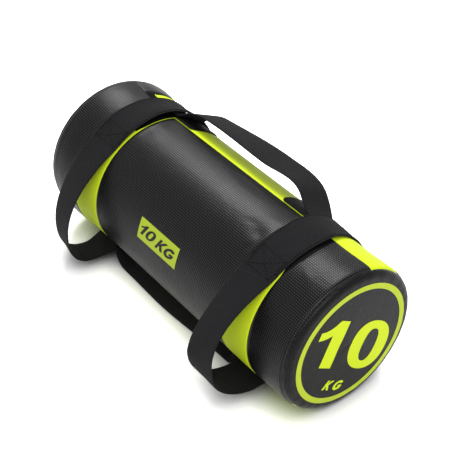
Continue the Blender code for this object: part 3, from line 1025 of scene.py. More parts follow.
@dataclass
class CoverRelief:
    """How the stuffed cover stands in and out of its plain form.

    Args:
        form: The bag.
        stuffing: What swells it.
        valley: How deep the seams sink.
        valley_width: How wide the sunk seam is.
        pucker: How high the puckers beside the seams are.
        pucker_width: How far they reach.
        strap_hold: How far beside a strap the cover is held flat.
        strap_fade: The distance over which it comes free.
        patch_hold: How far beside a patch it is held flat.
        patch_fade: The distance over which it comes free.
        loop_freedom: How free it is under the straps where the loops stand off.
        back_patch: Half the angle of the back handle's patches in degrees, and their reach.
        front_patch: The same for the front handle.
        swell: The simulated movement, made once.
    """

    form: BagForm
    stuffing: Stuffing
    valley: float = 0.0008
    valley_width: float = 0.0013
    pucker: float = 0.00010
    pucker_width: float = 0.006
    strap_hold: float = 0.0015
    strap_fade: float = 0.008
    patch_hold: float = 0.001
    patch_fade: float = 0.005
    loop_freedom: float = 0.25
    back_patch: tuple[float, float] = (16.5, 0.056)
    front_patch: tuple[float, float] = (11.5, 0.044)
    swell: Array = field(default_factory=lambda: np.zeros((2, 2)))

    def __post_init__(self) -> None:
        """Runs the simulation."""
        self.swell = self.stuffing.swell(self.form)

    def swollen(self, x: Array, angle: Array) -> Array:
        """Returns the simulated movement at any place, blended between grid points.

        Args:
            x: Places along X.
            angle: Angles round the bag.

        Returns:
            The movement outwards.
        """
        rows, columns = self.swell.shape
        row = np.clip((x / self.form.seam_place + 1) / 2 * (rows - 1), 0, rows - 1.001)
        column = (angle / math.tau % 1) * columns
        low_row, low_column = np.floor(row).astype(int), np.floor(column).astype(int)
        row_share, column_share = row - low_row, column - low_column
        low_column, next_column = low_column % columns, (low_column + 1) % columns

        def along_row(at: Array) -> Array:
            """Returns values in one row, blended between two columns."""
            low, high = self.swell[at, low_column], self.swell[at, next_column]
            return low * (1 - column_share) + high * column_share

        return along_row(low_row) * (1 - row_share) + along_row(low_row + 1) * row_share

    def freedom(self, x: Array, angle: Array) -> Array:
        """Returns 0 where a strap or a patch holds the cover flat, and 1 well clear of them.

        Args:
            x: Places along X.
            angle: Angles round the bag.

        Returns:
            The share by which the cover is free.
        """
        form = self.form
        free = np.ones(np.broadcast(x, angle).shape)
        turned = angle % math.tau
        for end in End:
            past = abs(x - form.strap_place(end)) - form.webbing_width / 2 - self.strap_hold
            in_loop = (turned > form.leave_angle) & (turned < form.return_angle)
            clear = smooth_share(past / self.strap_fade)
            free = np.minimum(free, np.maximum(clear, self.loop_freedom * in_loop))
        patches = (form.back_angle, self.back_patch), (form.front_angle, self.front_patch)
        for middle, (half, reach) in patches:
            off = abs(wrapped(angle - middle)) - math.radians(half)
            for end in End:
                past_end = np.maximum(-end.value * (x - form.strap_edge(end)) - reach,
                                      end.value * (x - form.strap_place(end)) - form.webbing_width / 2)
                past = np.maximum(off * form.radius, past_end) - self.patch_hold
                free = np.minimum(free, np.clip(past / self.patch_fade, 0, 1))
        return free

    def seam_distance(self, x: Array, angle: Array) -> Array:
        """Returns the distance to the nearest seam of the cover.

        Args:
            x: Places along X.
            angle: Angles round the bag.

        Returns:
            The distances.
        """
        form = self.form
        off = np.full(np.broadcast(x, angle).shape, 1.0)
        for seam in form.seam_angles[:4]:
            off = np.minimum(off, abs(wrapped(angle - seam)) * form.radius)
        off = np.minimum(off, abs(abs(x) - form.seam_place))
        turned = (angle - form.seam_angles[0]) % math.tau + form.seam_angles[0]
        on_front = (turned >= form.seam_angles[1]) & (turned <= form.seam_angles[2])
        on_back = turned <= form.seam_angles[1]
        for place in (form.far_strap, form.near_strap):
            for side in (-1, 1):
                run = form.seam_run(angle) if place > 0 and side > 0 else 0
                edge = abs(x - place - side * form.band_width / 2 + run)
                off = np.where(on_front, np.minimum(off, edge), off)
        return np.where(on_back, np.minimum(off, abs(x - form.back_panel_far)), off)

    def gathers(self, x: Array, angle: Array, distance: Array) -> Array:
        """Returns the small puckers that the stitching draws in beside each seam."""
        waves = uneven_wave(x, 610, 1.7, 97) + uneven_wave(angle, 64, 2.1, 9)
        return self.pucker * waves * bump_at(distance, self.pucker_width)

    def rise(self, x: Array, angle: Array) -> Array:
        """Returns how far the cover stands proud of its plain form.

        Args:
            x: Places along X.
            angle: Angles round the bag.

        Returns:
            The heights.
        """
        free = self.freedom(x, angle)
        rise = self.swollen(x, angle)
        for dent in DENTS:
            rise = rise - dent.at(self.form, x, angle)
        distance = self.seam_distance(x, angle)
        rise = (rise + self.gathers(x, angle, distance)) * free + self.form.end_lift(x, angle)
        return rise - self.valley * bump_at(distance, self.valley_width)

    def outside(self, x: Array, angle: Array, lift: float = 0.0) -> Array:
        """Returns points on the cover, or a lift over it."""
        x, angle = np.broadcast_arrays(x, angle)
        return self.form.point(x, angle, self.form.cover_radius(x) + self.rise(x, angle) + lift)

    def inside(self, x: Array, angle: Array, thickness: float) -> Array:
        """Returns points on the inner face of the cover.

        Args:
            x: Places along X.
            angle: Angles round the bag.
            thickness: The thickness of the fabric.

        Returns:
            Their X, Y and Z.
        """
        x, angle = np.broadcast_arrays(x, angle)
        rise = np.minimum(0, self.rise(x, angle) + thickness * 0.5)
        radius = self.form.cover_radius(x) - thickness + rise
        return self.form.point(x, angle, radius, thickness)


# ---------------------------------------------------------------- stitches


@dataclass
class Stitcher:
    """Geometry Nodes that lay one stitch after another along every line of a mesh.

    Args:
        spacing: The distance from stitch to stitch.
        length: The length of one stitch.
        thread: The radius of the thread.
        finish: The thread's surface.
        seed: The seed of the small differences between stitches.
    """

    spacing: float = 0.0042
    length: float = 0.0032
    thread: float = 0.00042
    finish: Finish = BLACK_THREAD
    seed: int = 3

    def tree(self) -> Tree:
        """Returns the node tree, built once."""
        made = bpy.data.node_groups.get("stitch_run")
        if made:
            return made
        tree = bpy.data.node_groups.new("stitch_run", "GeometryNodeTree")
        sockets = {"Lines": "Geometry", "Spacing": "Float", "Stitch Size": "Vector", "Thread": "Material",
                   "Seed": "Int"}
        for name, kind in sockets.items():
            tree.interface.new_socket(name, in_out="INPUT", socket_type="NodeSocket" + kind)
        tree.interface.new_socket("Stitches", in_out="OUTPUT", socket_type="NodeSocketGeometry")
        given = add_node(tree, "NodeGroupInput").outputs
        curve = add_node(tree, "GeometryNodeMeshToCurve", {"Mesh": given["Lines"]})
        spaced = {"Curve": curve.outputs["Curve"], "Length": given["Spacing"]}
        dots = add_node(tree, "GeometryNodeResampleCurve", spaced, mode="LENGTH")
        tangent = add_node(tree, "GeometryNodeInputTangent")
        aimed = add_node(tree, "FunctionNodeAlignRotationToVector", {"Vector": tangent.outputs[0]}, axis="Z")
        bead = add_node(tree, "GeometryNodeMeshUVSphere", {"Segments": 7, "Rings": 5, "Radius": 1.0})
        spread = {"Min": 0.9, "Max": 1.1, "Seed": given["Seed"]}
        varied = add_node(tree, "FunctionNodeRandomValue", spread, data_type="FLOAT")
        size = {0: given["Stitch Size"], "Scale": varied.outputs["Value"]}
        scaled = add_node(tree, "ShaderNodeVectorMath", size, operation="SCALE")
        laid = {"Points": dots.outputs["Curve"], "Instance": bead.outputs["Mesh"],
                "Rotation": aimed.outputs["Rotation"], "Scale": scaled.outputs["Vector"]}
        placed = add_node(tree, "GeometryNodeInstanceOnPoints", laid)
        real = add_node(tree, "GeometryNodeRealizeInstances", {"Geometry": placed.outputs["Instances"]})
        smooth = add_node(tree, "GeometryNodeSetShadeSmooth", {"Geometry": real.outputs["Geometry"]})
        coated = {"Geometry": smooth.outputs["Geometry"], "Material": given["Thread"]}
        final = add_node(tree, "GeometryNodeSetMaterial", coated)
        add_node(tree, "NodeGroupOutput", {"Stitches": final.outputs["Geometry"]})
        return tree

    def sew(self, name: str, lines: Iterable[Array], body: Body) -> None:
        """Sews along lines of points, and makes one plain mesh with all the stitches.

        Args:
            name: The name of the piece of stitching.
            lines: Each line as rows of X, Y and Z.
            body: The body that the stitches ride on.
        """
        points, edges = [], []
        for line in lines:
            first = len(points)
            points += np.asarray(line).tolist()
            edges += [(index, index + 1) for index in range(first, len(points) - 1)]
        data = bpy.data.meshes.new(name + "_lines")
        data.from_pydata(points, edges, [])
        guide = new_object(name + "_lines", data)
        modifier = guide.modifiers.new("Stitches", "NODES")
        tree = self.tree()
        modifier.node_group = tree
        values = {"Spacing": self.spacing, "Stitch Size": (self.thread, self.thread, self.length / 2),
                  "Thread": self.finish.material(), "Seed": self.seed}
        for item in tree.interface.items_tree:
            if item.name in values:
                modifier[item.identifier] = values[item.name]
        made = baked(guide)
        made.name = name
        dressed(new_object(name, made), body, Slot.WEBBING)


STITCHER = Stitcher()


# ---------------------------------------------------------------- the cover


@dataclass(frozen=True)
class Facing:
    """A very dark matt strip that lines a panel beside a strap, painting the shadow that the strap's raised
    edge throws there.

    Args:
        node: The panel's node.
        start: Its far edge along X.
        edge: Its near edge: pairs of an angle in degrees and a place along X.
        margin: How near that edge may come to an edge of the panel.
    """

    node: str
    start: float
    edge: tuple[tuple[float, float], ...]
    margin: float = 0.0006

    def end(self, angle: Array) -> Array:
        """Returns its near edge at angles round the bag."""
        places = [math.radians(place) for place, _ in self.edge]
        return np.interp(angle, places, [value for _, value in self.edge])

    def covers(self, x: float, angle: float) -> bool:
        """Tells whether a place lies on the tape."""
        first, last = (math.radians(self.edge[index][0]) for index in (0, -1))
        return first < angle < last and self.start < x < float(self.end(np.array(angle)))

    def drawn_to(self, x: Array, angle: Array) -> Array:
        """Draws the nearest row of a panel's points to the tape's near edge, so that it runs smooth.

        Args:
            x: Places along X.
            angle: Angles round the bag.

        Returns:
            The new places along X.
        """
        edge = self.end(angle)
        row = int(np.argmin(abs(x.mean(axis=1) - edge.mean())))
        first, chosen, last = x[:1], x[row:row + 1], x[-1:]
        edge = np.clip(edge, first + self.margin, last - self.margin)
        before = first + (x - first) * (edge - first) / (chosen - first)
        after = last - (last - x) * (last - edge) / (last - chosen)
        return np.where(np.arange(len(x))[:, None] <= row, before, after)


# Painted shadow: strips of very dark matt tape where the straps' raised edges throw shade on the panels.
SHADOW_TAPES = (
    Facing("near_band_panel", 0.1650, ((-19.5, 0.1900), (22, 0.1900))),
    Facing("near_end_panel", 0.1700, ((-19.5, 0.1822), (-16, 0.1835), (-6.6, 0.1872), (3.6, 0.1880),
                                      (12.6, 0.1885), (21, 0.1866), (28, 0.1850), (40, 0.1842),
                                      (130, 0.1840))),
    Facing("far_band_panel", -0.2000, ((-19.5, -0.1418), (8, -0.1418), (16, -0.1436))),
    Facing("back_handle_panel", -0.2150, ((-55, -0.2100), (-49, -0.2098), (-35, -0.2072), (-26, -0.2050),
                                         (-24.5, -0.1900), (-18, -0.1900))),
    Facing("back_handle_panel", -0.1930, ((-55, -0.1426), (-18, -0.1420))),
)


@dataclass(frozen=True)
class PanelPlan:
    """One panel of the cover, by its CAD node.

    Args:
        node: The node that it replaces.
        finish: Its fabric.
        slot: The record's slot of that fabric.
        start: Its far end along X.
        end: Its near end.
        first_seam: The number of the lengthwise seam that it starts from.
    """

    node: str
    finish: Finish
    slot: Slot
    start: float
    end: float
    first_seam: int


@dataclass
class Cover:
    """The sewn cover: lime bands and strips between black panels.

    Args:
        form: The bag.
        relief: How the cover stands in and out.
        step: The distance between points of the mesh.
        seam_gap: The gap between neighbouring panels.
        edge_rows: Where the rows beside an edge lie, in from its gap.
        edge_reach: Where the evenly spaced rows begin, in from the edge.
        edge_span: The length that is left to the rows beside both edges.
        seam_run_reach: How far the points beside the near band's seam are drawn along with it.
    """

    form: BagForm
    relief: CoverRelief
    step: float = 0.0026
    seam_gap: float = 0.0003
    edge_rows: tuple[float, ...] = (0, 0.0005, 0.0011, 0.0019)
    edge_reach: float = 0.0033
    edge_span: float = 0.007
    seam_run_reach: float = 0.03

    def plans(self) -> list[PanelPlan]:
        """Lists the panels."""
        form = self.form
        far, near, half = form.far_strap, form.near_strap, form.band_width / 2
        black, lime = (BLACK_FABRIC, Slot.BLACK_FABRIC), (LIME_FABRIC, Slot.LIME_FABRIC)
        seam = form.seam_place
        return [
            PanelPlan("far_end_panel", *black, -seam, far - half, 1),
            PanelPlan("far_band_panel", *lime, far - half, far + half, 1),
            PanelPlan("centre_panel", *black, far + half, near - half, 1),
            PanelPlan("near_band_panel", *lime, near - half, near + half, 1),
            PanelPlan("near_end_panel", *black, near + half, seam, 1),
            PanelPlan("back_handle_panel", *lime, form.back_panel_far, seam, 0),
            PanelPlan("back_handle_panel_end", *black, -seam, form.back_panel_far, 0),
            PanelPlan("front_handle_panel", *lime, -seam, seam, 2),
            PanelPlan("under_panel", *black, -seam, seam, 3),
        ]

    def stations(self, start: float, end: float) -> Array:
        """Lists places from start to end, closer together at both edges.

        Args:
            start: Where they start along X.
            end: Where they end.

        Returns:
            The places.
        """
        gap = self.seam_gap / 2
        rolled = np.array(self.edge_rows)
        count = max(3, round((end - start - self.edge_span) / self.step))
        inside = np.linspace(start + self.edge_reach, end - self.edge_reach, count)
        return np.concatenate([start + gap + rolled, inside, (end - gap - rolled)[::-1]])

    def build_panel(self, plan: PanelPlan) -> None:
        """Args:
            plan: The panel's plan.
        """
        form = self.form
        arcs = [form.seam_angles[plan.first_seam + index] * form.radius for index in (0, 1)]
        x = self.stations(plan.start, plan.end)[:, None]
        angle = (self.stations(*arcs) / form.radius)[None, :]
        if plan.first_seam == 1 and plan.end > form.near_strap:
            seam = form.near_strap + form.band_width / 2
            x = x - form.seam_run(angle) * np.clip(1 - abs(x - seam) / self.seam_run_reach, 0, 1)
        for tape in SHADOW_TAPES:
            if tape.node == plan.node and plan.start < tape.end(angle).mean() < plan.end:
                x = tape.drawn_to(np.broadcast_to(x, np.broadcast(x, angle).shape), angle)
        outer = self.relief.outside(x, angle)
        inner = self.relief.inside(x, angle, form.cover_thickness)
        uv = np.stack(np.broadcast_arrays(angle * form.radius, x), axis=-1)
        panel = shell(plan.node + "_fabric", outer, inner, uv, plan.finish)
        self.paint_shadow_tape_faces(plan.node, panel)
        dressed(panel, Body.BAG, plan.slot, [plan.node])

    def paint_shadow_tape_faces(self, node: str, panel: bpy.types.Object) -> None:
        """Gives the faces that a tape covers the tape's finish, which paints the straps' shadow on them.

        Args:
            node: The panel's CAD node.
            panel: Its object.
        """
        tapes = [tape for tape in SHADOW_TAPES if tape.node == node]
        if not tapes:
            return
        panel.data.materials.append(SHADOW_TAPE_FABRIC.material())
        for face in panel.data.polygons:
            x, y, z = face.center
            angle = math.atan2(-y, z - self.form.axis_height)
            if any(tape.covers(x, angle) for tape in tapes):
                face.material_index = 1

    def build(self) -> None:
        """Builds every panel."""
        for plan in self.plans():
            self.build_panel(plan)


@dataclass
class EndCap:
    """A round end of the cover, with a rounded rim.

    Args:
        form: The bag.
        end: Which end it closes.
        dome: How far its middle swells.
        rim_ripple: How high the gathers on its rim are.
        ripple_start: The share of the flat radius where the gathers start.
        ripple_growth: How fast they grow from there.
        face_ripple: How uneven its face is.
        step_back: How far its edge is drawn in at the seam.
        edge_reach: How near the seam its edge is.
        lift_start: The share of its radius from which it lifts with the cover.
        lift_run: The share over which it does.
        segments: Points round it.
    """

    form: BagForm
    end: End
    dome: float = 0.0006
    rim_ripple: float = 0.00012
    ripple_start: float = 0.93
    ripple_growth: float = 14
    face_ripple: float = 0.00022
    step_back: float = 0.0006
    edge_reach: float = 0.001
    lift_start: float = 0.6
    lift_run: float = 0.35
    segments: int = 200

    def swell(self, radius: Array, angle: Array) -> Array:
        """Returns how far the face stands proud at a distance from the axis and an angle.

        Args:
            radius: Distances from the axis.
            angle: Angles round the bag.

        Returns:
            The distances out along X.
        """
        form = self.form
        share = np.clip(radius / form.cap_flat_radius, 0, 1)
        domed = self.dome * (1 - share**2)
        gathered = smooth_share((share - self.ripple_start) * self.ripple_growth)
        ripple = self.rim_ripple * uneven_wave(angle, 31, 1.3, 5) * gathered
        soft = self.face_ripple * np.sin(3 * angle + 40 * radius) * np.sin(52 * radius + 0.6)
        return domed + ripple + soft * (1 - share**4)

    def profile(self, depth: float) -> tuple[Array, Array]:
        """Returns the distance out and the radius along the cap, from its middle to its seam.

        Args:
            depth: How deep under the cap's face.

        Returns:
            The two rows of distances.
        """
        form = self.form
        swell = form.far_swell(self.end.value * form.seam_place)
        flat_radius = form.cap_flat_radius + swell
        flat = np.linspace(0.002, flat_radius, 34)
        turn = np.linspace(math.pi / 2, 0, 12)[1:]
        seam_radius = form.radius - form.end_turn_drop + swell
        rim = flat_radius + (seam_radius - flat_radius) * np.cos(turn)
        out = form.seam_place + (form.cap_depth - depth) * np.sin(turn)
        out[-1] += form.clearance / 2
        places = np.concatenate([np.full(len(flat), form.half_length - depth), out])
        radii = np.concatenate([flat, rim])
        radii[len(flat):] -= depth * np.linspace(0, 1, len(turn))
        return places, radii

    def build(self) -> None:
        """Builds the cap as a closed shell with its cloth laid flat across the face."""
        form, sign = self.form, self.end.value
        angle = full_turn(self.segments)
        sheets, uvs = [], []
        for depth in (0.0, form.cover_thickness):
            places, radii = self.profile(depth)
            grid_place, grid_angle = np.meshgrid(places, angle, indexing="ij")
            lift = form.end_lift(sign * form.seam_place, angle)[None, :]
            lifted = smooth_share((radii / radii.max() - self.lift_start) / self.lift_run)
            grid_radius = radii[:, None] + lift * lifted[:, None]
            rise = self.swell(np.broadcast_to(radii[:, None], grid_place.shape), grid_angle)
            at_edge = grid_place < form.seam_place + self.edge_reach
            rise = rise - self.step_back * at_edge * (depth == 0)
            x = sign * (grid_place + rise)
            y = -grid_radius * np.sin(grid_angle)
            z = np.maximum(form.axis_height + grid_radius * np.cos(grid_angle), depth)
            sheets.append(np.stack([x, y, z], axis=-1))
            uvs.append(np.stack([y, z], axis=-1))
        outer, inner = sheets
        rows, columns = outer.shape[:2]
        count = rows * columns
        faces = both_sides(grid_faces(rows, columns, wrap_columns=True), count)
        last = (rows - 1) * columns
        for column in range(columns):
            after = (column + 1) % columns
            faces.append((last + column, last + after, last + after + count, last + column + count))
        points = np.concatenate([outer.reshape(-1, 3), inner.reshape(-1, 3)])
        uv = np.concatenate([grid.reshape(-1, 2) for grid in uvs])
        for base, sheet in ((0, outer), (count, inner)):
            middle = len(points)
            points = np.concatenate([points, sheet[0].mean(axis=0)[None]])
            uv = np.concatenate([uv, [[0, form.axis_height]]])
            faces += fan_faces(base, columns, middle)
        cap = new_piece(self.end.word + "_end_cap_fabric", points, faces, CAP_FABRIC, uv)
        dressed(cap, Body.BAG, Slot.BLACK_FABRIC, [self.end.word + "_end_cap"])


# ---------------------------------------------------------------- the weight marks


class Glyph(Enum):
    """The four signs of the weight marks, drawn plain and bold."""

    ONE = "1"
    ZERO = "0"
    KAY = "K"
    GEE = "G"

    def outlines(self) -> list[Array]:
        """Returns closed outlines in a box one unit high, the outer one first."""
        if self is Glyph.ONE:
            return [np.array([(0.655, 0), (0.655, 1), (0.42, 1), (0.37, 0.955), (0.32, 0.89), (0.21, 0.80),
                              (0.10, 0.745), (0, 0.72), (0, 0.55), (0.11, 0.575), (0.21, 0.615),
                              (0.335, 0.68), (0.335, 0)])]
        if self is Glyph.ZERO:
            return [self.oval(0.5, 0.5, 0.5, 0.5, 2.25), self.oval(0.5, 0.5, 0.185, 0.335, 2.35)]
        if self is Glyph.KAY:
            return [np.array([(0, 0), (0, 1), (0.27, 1), (0.27, 0.62), (0.60, 1), (0.95, 1), (0.53, 0.53),
                              (1.0, 0), (0.66, 0), (0.34, 0.37), (0.27, 0.29), (0.27, 0)])]
        outer = self.arc(0.5, 0.5, 42, 318)
        inner = self.arc(0.24, 0.26, 318, 42)
        bar = [(0.96, 0.16), (0.96, 0.55), (0.52, 0.55), (0.52, 0.35), (0.71, 0.35), (0.71, 0.28)]
        return [np.concatenate([outer, np.array(bar), inner])]

    @staticmethod
    def oval(middle_x: float, middle_y: float, half_x: float, half_y: float, squareness: float) -> Array:
        """Returns a closed oval, squarer than an ellipse where the squareness is over 2.

        Args:
            middle_x: Its middle, across.
            middle_y: Its middle, up.
            half_x: Half its width.
            half_y: Half its height.
            squareness: 2 for an ellipse, and more for a squarer form.

        Returns:
            Its points.
        """
        turn = full_turn(56)
        across, up = np.cos(turn), np.sin(turn)
        power = 2 / squareness
        x = middle_x + half_x * np.sign(across) * abs(across) ** power
        return np.stack([x, middle_y + half_y * np.sign(up) * abs(up) ** power], axis=-1)

    @staticmethod
    def arc(half_x: float, half_y: float, start: float, end: float) -> Array:
        """Returns part of an ellipse round the middle of the box, between angles in degrees."""
        turn = np.radians(np.linspace(start, end, 36))
        return np.stack([0.5 + half_x * np.cos(turn), 0.5 + half_y * np.sin(turn)], axis=-1)


@dataclass(frozen=True)
class Sign:
    """One glyph set in a mark.

    Args:
        glyph: Which glyph.
        left: Where its box starts.
        bottom: Where it stands.
        width: The width of its box.
        height: Its height.
        slant: How far its top leans on for each unit of height.
    """

    glyph: Glyph
    left: float
    bottom: float
    width: float
    height: float
    slant: float

    def outlines(self) -> list[Array]:
        """Returns the glyph's outlines in their place."""
        placed = []
        for outline in self.glyph.outlines():
            x = self.left + outline[:, 0] * self.width + self.slant * outline[:, 1] * self.height
            placed.append(np.stack([x, self.bottom + outline[:, 1] * self.height], axis=-1))
        return placed


def sign_outlines(*signs: Sign) -> list[Array]:
    """Returns the outlines of signs that are printed together."""
    return [outline for sign in signs for outline in sign.outlines()]


@dataclass
class PrintedMark:
    """Printed outlines, cut fine enough to follow the surface they lie on.

    Args:
        name: The piece's name.
        outlines: Closed outlines in the mark's own plane; those inside others are holes.
        finish: Its ink.
        cell: The widest that a cut cell may be.
        surface: Turns places in the mark's plane and a lift into points.
        base_lift: How high the ink's underside lies over the surface.
        top_lift: How high its top lies.
    """

    name: str
    outlines: list[Array]
    finish: Finish
    cell: float
    surface: Callable[[Array, Array, Array], Array]
    base_lift: float = 0.00005
    top_lift: float = 0.00022

    def flat_mesh(self) -> bmesh.types.BMesh:
        """Fills the outlines and cuts the filling into cells."""
        curve = bpy.data.curves.new(self.name + "_outline", "CURVE")
        curve.dimensions = "2D"
        curve.fill_mode = "BOTH"
        for outline in self.outlines:
            spline = curve.splines.new("POLY")
            spline.points.add(len(outline) - 1)
            spline.points.foreach_set("co", np.pad(outline, ((0, 0), (0, 2))).ravel())
            spline.use_cyclic_u = True
        flat = bmesh.new()
        flat.from_mesh(baked(new_object(self.name + "_outline", curve)))
        bmesh.ops.remove_doubles(flat, verts=flat.verts, dist=1e-7)
        everything = np.concatenate(self.outlines)
        for axis, way in ((0, (1, 0, 0)), (1, (0, 1, 0))):
            low, high = everything[:, axis].min(), everything[:, axis].max()
            for cut in np.arange(low + self.cell, high, self.cell):
                parts = flat.verts[:] + flat.edges[:] + flat.faces[:]
                bmesh.ops.bisect_plane(flat, geom=parts, plane_co=Vector(way) * cut, plane_no=way)
        bmesh.ops.recalc_face_normals(flat, faces=flat.faces[:])
        return flat

    def build(self) -> None:
        """Builds the print as a thin closed layer on its surface."""
        flat = self.flat_mesh()
        flat.verts.index_update()
        plane = np.array([vert.co.xy for vert in flat.verts])
        count = len(plane)
        faces = [tuple(vert.index for vert in face.verts) for face in flat.faces]
        rim = [(edge.verts[0].index, edge.verts[1].index) for edge in flat.edges if edge.is_boundary]
        flat.free()
        faces = both_sides(faces, count) + [(a, b, b + count, a + count) for a, b in rim]
        points = [self.surface(plane[:, 0], plane[:, 1], lift) for lift in (self.top_lift, self.base_lift)]
        uv = np.concatenate([plane, plane])
        mark = new_piece(self.name, np.concatenate(points), faces, self.finish, uv)
        dressed(mark, Body.BAG, Slot.LIME_FABRIC)


@dataclass
class WeightMarks:
    """The weight printed on the near cap and on the barrel.

    Args:
        form: The bag.
        relief: The cover that the label lies on.
        cap: The cap that the disc mark lies on.
        turn: How far the disc mark is turned, in degrees.
        ring_inside: The inner radius of the ring.
        ring_outside: Its outer radius.
        ring_middle: Where its middle lies in the disc mark.
        label_start: The label's far end along X.
        label_end: Its near end.
        label_top: The angle of its upper edge, in degrees.
        label_bottom: The angle of its lower edge.
        label_lean: How far its signs lean.
        ink_step: How high the label's signs lie over it.
        cap_cell: How fine the disc mark is cut.
        label_cell: How fine the label is cut.
    """

    form: BagForm
    relief: CoverRelief
    cap: EndCap
    turn: float = -32.7
    ring_inside: float = 0.0773
    ring_outside: float = 0.0848
    ring_middle: tuple[float, float] = (0.0030, 0.0002)
    label_start: float = -0.0441
    label_end: float = 0.0372
    label_top: float = 62.4
    label_bottom: float = 79.4
    label_lean: float = 0.55
    ink_step: float = 0.00018
    cap_cell: float = 0.008
    label_cell: float = 0.0024

    def on_cap(self, u: Array, v: Array, lift: Array) -> Array:
        """Returns points on the near cap from places right and up in the disc mark.

        Args:
            u: Places to the right.
            v: Places up.
            lift: How high over the face.

        Returns:
            Their X, Y and Z.
        """
        turn = math.radians(self.turn)
        y = u * math.cos(turn) - v * math.sin(turn)
        up = u * math.sin(turn) + v * math.cos(turn)
        radius, angle = np.hypot(y, up), np.arctan2(-y, up)
        rise = self.cap.swell(radius, angle % math.tau)
        x = self.form.half_length + rise + lift
        return np.stack([x, y, up + self.form.axis_height], axis=-1)

    def on_barrel(self, u: Array, v: Array, lift: Array) -> Array:
        """Returns points on the barrel from places along it and up from the label's lower edge."""
        angle = math.radians(self.label_bottom) - v / self.form.radius
        return self.relief.outside(u, angle, lift)

    def on_label(self, u: Array, v: Array, lift: Array) -> Array:
        """Returns points on top of the label."""
        return self.on_barrel(u, v, lift + self.ink_step)

    def build_disc_mark(self) -> None:
        """Builds the ring, the number and the unit on the near cap."""
        turn = full_turn(180)
        circle = np.stack([np.cos(turn), np.sin(turn)], axis=-1)
        middle = np.array(self.ring_middle)
        ring = [middle + circle * self.ring_outside, middle + circle * self.ring_inside]
        number = sign_outlines(Sign(Glyph.ONE, -0.0567, -0.034, 0.0654, 0.0654, -0.135),
                               Sign(Glyph.ZERO, 0.0070, -0.0338, 0.0692, 0.0688, -0.135))
        unit = sign_outlines(Sign(Glyph.KAY, -0.0065, -0.0655, 0.0125, 0.0138, 0.30),
                             Sign(Glyph.GEE, 0.0110, -0.0655, 0.0150, 0.0145, 0.30))
        marks = ("ring", ring, RING_INK), ("number", number, LIME_INK), ("unit", unit, LIME_INK)
        for name, outlines, ink in marks:
            PrintedMark(f"near_cap_{name}_print", outlines, ink, self.cap_cell, self.on_cap).build()

    def build_label(self) -> None:
        """Builds the label on the barrel with its number and unit."""
        high = math.radians(self.label_bottom - self.label_top) * self.form.radius
        start, end, lean = self.label_start, self.label_end, self.label_lean
        field_outline = np.array([(start, 0), (end, 0), (end, high), (start, high)])
        text = sign_outlines(Sign(Glyph.ONE, -0.0446, 0.0078, 0.0160, 0.0158, lean),
                             Sign(Glyph.ZERO, -0.0310, 0.0074, 0.0166, 0.0158, lean),
                             Sign(Glyph.KAY, -0.0075, 0.0066, 0.0162, 0.0156, lean),
                             Sign(Glyph.GEE, 0.0082, 0.0061, 0.0189, 0.0154, lean))
        cell = self.label_cell
        PrintedMark("weight_label_print", [field_outline], LABEL_INK, cell, self.on_barrel).build()
        PrintedMark("weight_label_text_print", text, BLACK_INK, cell, self.on_label).build()

    def build(self) -> None:
        """Builds both marks."""
        self.build_disc_mark()
        self.build_label()


# ---------------------------------------------------------------- webbing


@dataclass(frozen=True)
class WebbingSection:
    """The cross section of the webbing, with rounded selvedges.

    Args:
        width: Its full width.
        thickness: Its full thickness.
        columns: Points across each face.
        squareness: How square its edges are.
        edge_share: The least thickness of its edges, as a share of its full thickness.
    """

    width: float = 0.050
    thickness: float = 0.0024
    columns: int = 21
    squareness: int = 16
    edge_share: float = 0.12

    def outline(self) -> list[tuple[float, float]]:
        """Returns places across, from -1 to 1, and heights, once round the section."""
        turns = np.linspace(-math.pi / 2, math.pi / 2, self.columns)
        across = np.sin(turns)
        height = self.thickness / 2 * (1 - abs(across) ** self.squareness) ** 0.5
        height = np.maximum(height, self.thickness * self.edge_share)
        outer = list(zip(across, height))
        return outer + [(place, -high) for place, high in outer[::-1]]

    def band(self, name: str, rings: list, closed: bool) -> bpy.types.Object:
        """Makes a band from rings of this section, with the weave following its length.

        Args:
            name: The band's name.
            rings: Its rings of points, in order.
            closed: Whether the last ring joins the first.

        Returns:
            The new object.
        """
        rings = np.array(rings)
        steps = np.linalg.norm(np.diff(rings[:, self.columns // 2], axis=0), axis=1)
        along = np.concatenate([[0], np.cumsum(steps)])
        across = np.array([place * self.width / 2 for place, _ in self.outline()])
        uv = np.stack(np.broadcast_arrays(along[:, None], across[None, :]), axis=-1)
        return tube(name, rings, uv, BLACK_WEBBING, closed)


@dataclass(frozen=True)
class LoopShape:
    """One hand loop, seen from the side: its belly, its low point and how far it leans.

    Args:
        name: The name of its node.
        end: The end of the bag that it is near.
        body: Its body.
        reach: How far its belly stands out from the cover.
        belly_drop: How far its belly lies under the axis.
        low_setback: How far its low point lies in from its belly.
        low_height: How high its low point is.
        leave_pull: How long the curve's handle is where it leaves the bag.
        belly_pull: The same above its belly.
        fold_pull: The same under its belly.
        low_pull: The same before its low point.
        return_pull: The same on its way back to the bag.
        belly_lean: How far its near edge stands out at its belly.
        low_lean: The same at its low point.
        leave_lean_share: How much of the standoff it leans by near its top.
        far_edge_lift: How far its strap's far edge stands off, by angle in degrees.
        near_edge_lift: The same for the near edge.
        pinch: How far the near edge is drawn in behind the handle's foot.
    """

    name: str
    end: End
    body: Body
    reach: float
    belly_drop: float
    low_setback: float
    low_height: float
    leave_pull: float
    belly_pull: float
    fold_pull: float
    low_pull: float
    return_pull: float
    belly_lean: float
    low_lean: float
    leave_lean_share: float
    far_edge_lift: tuple[tuple[float, float], ...]
    near_edge_lift: tuple[tuple[float, float], ...]
    pinch: float = 0.0


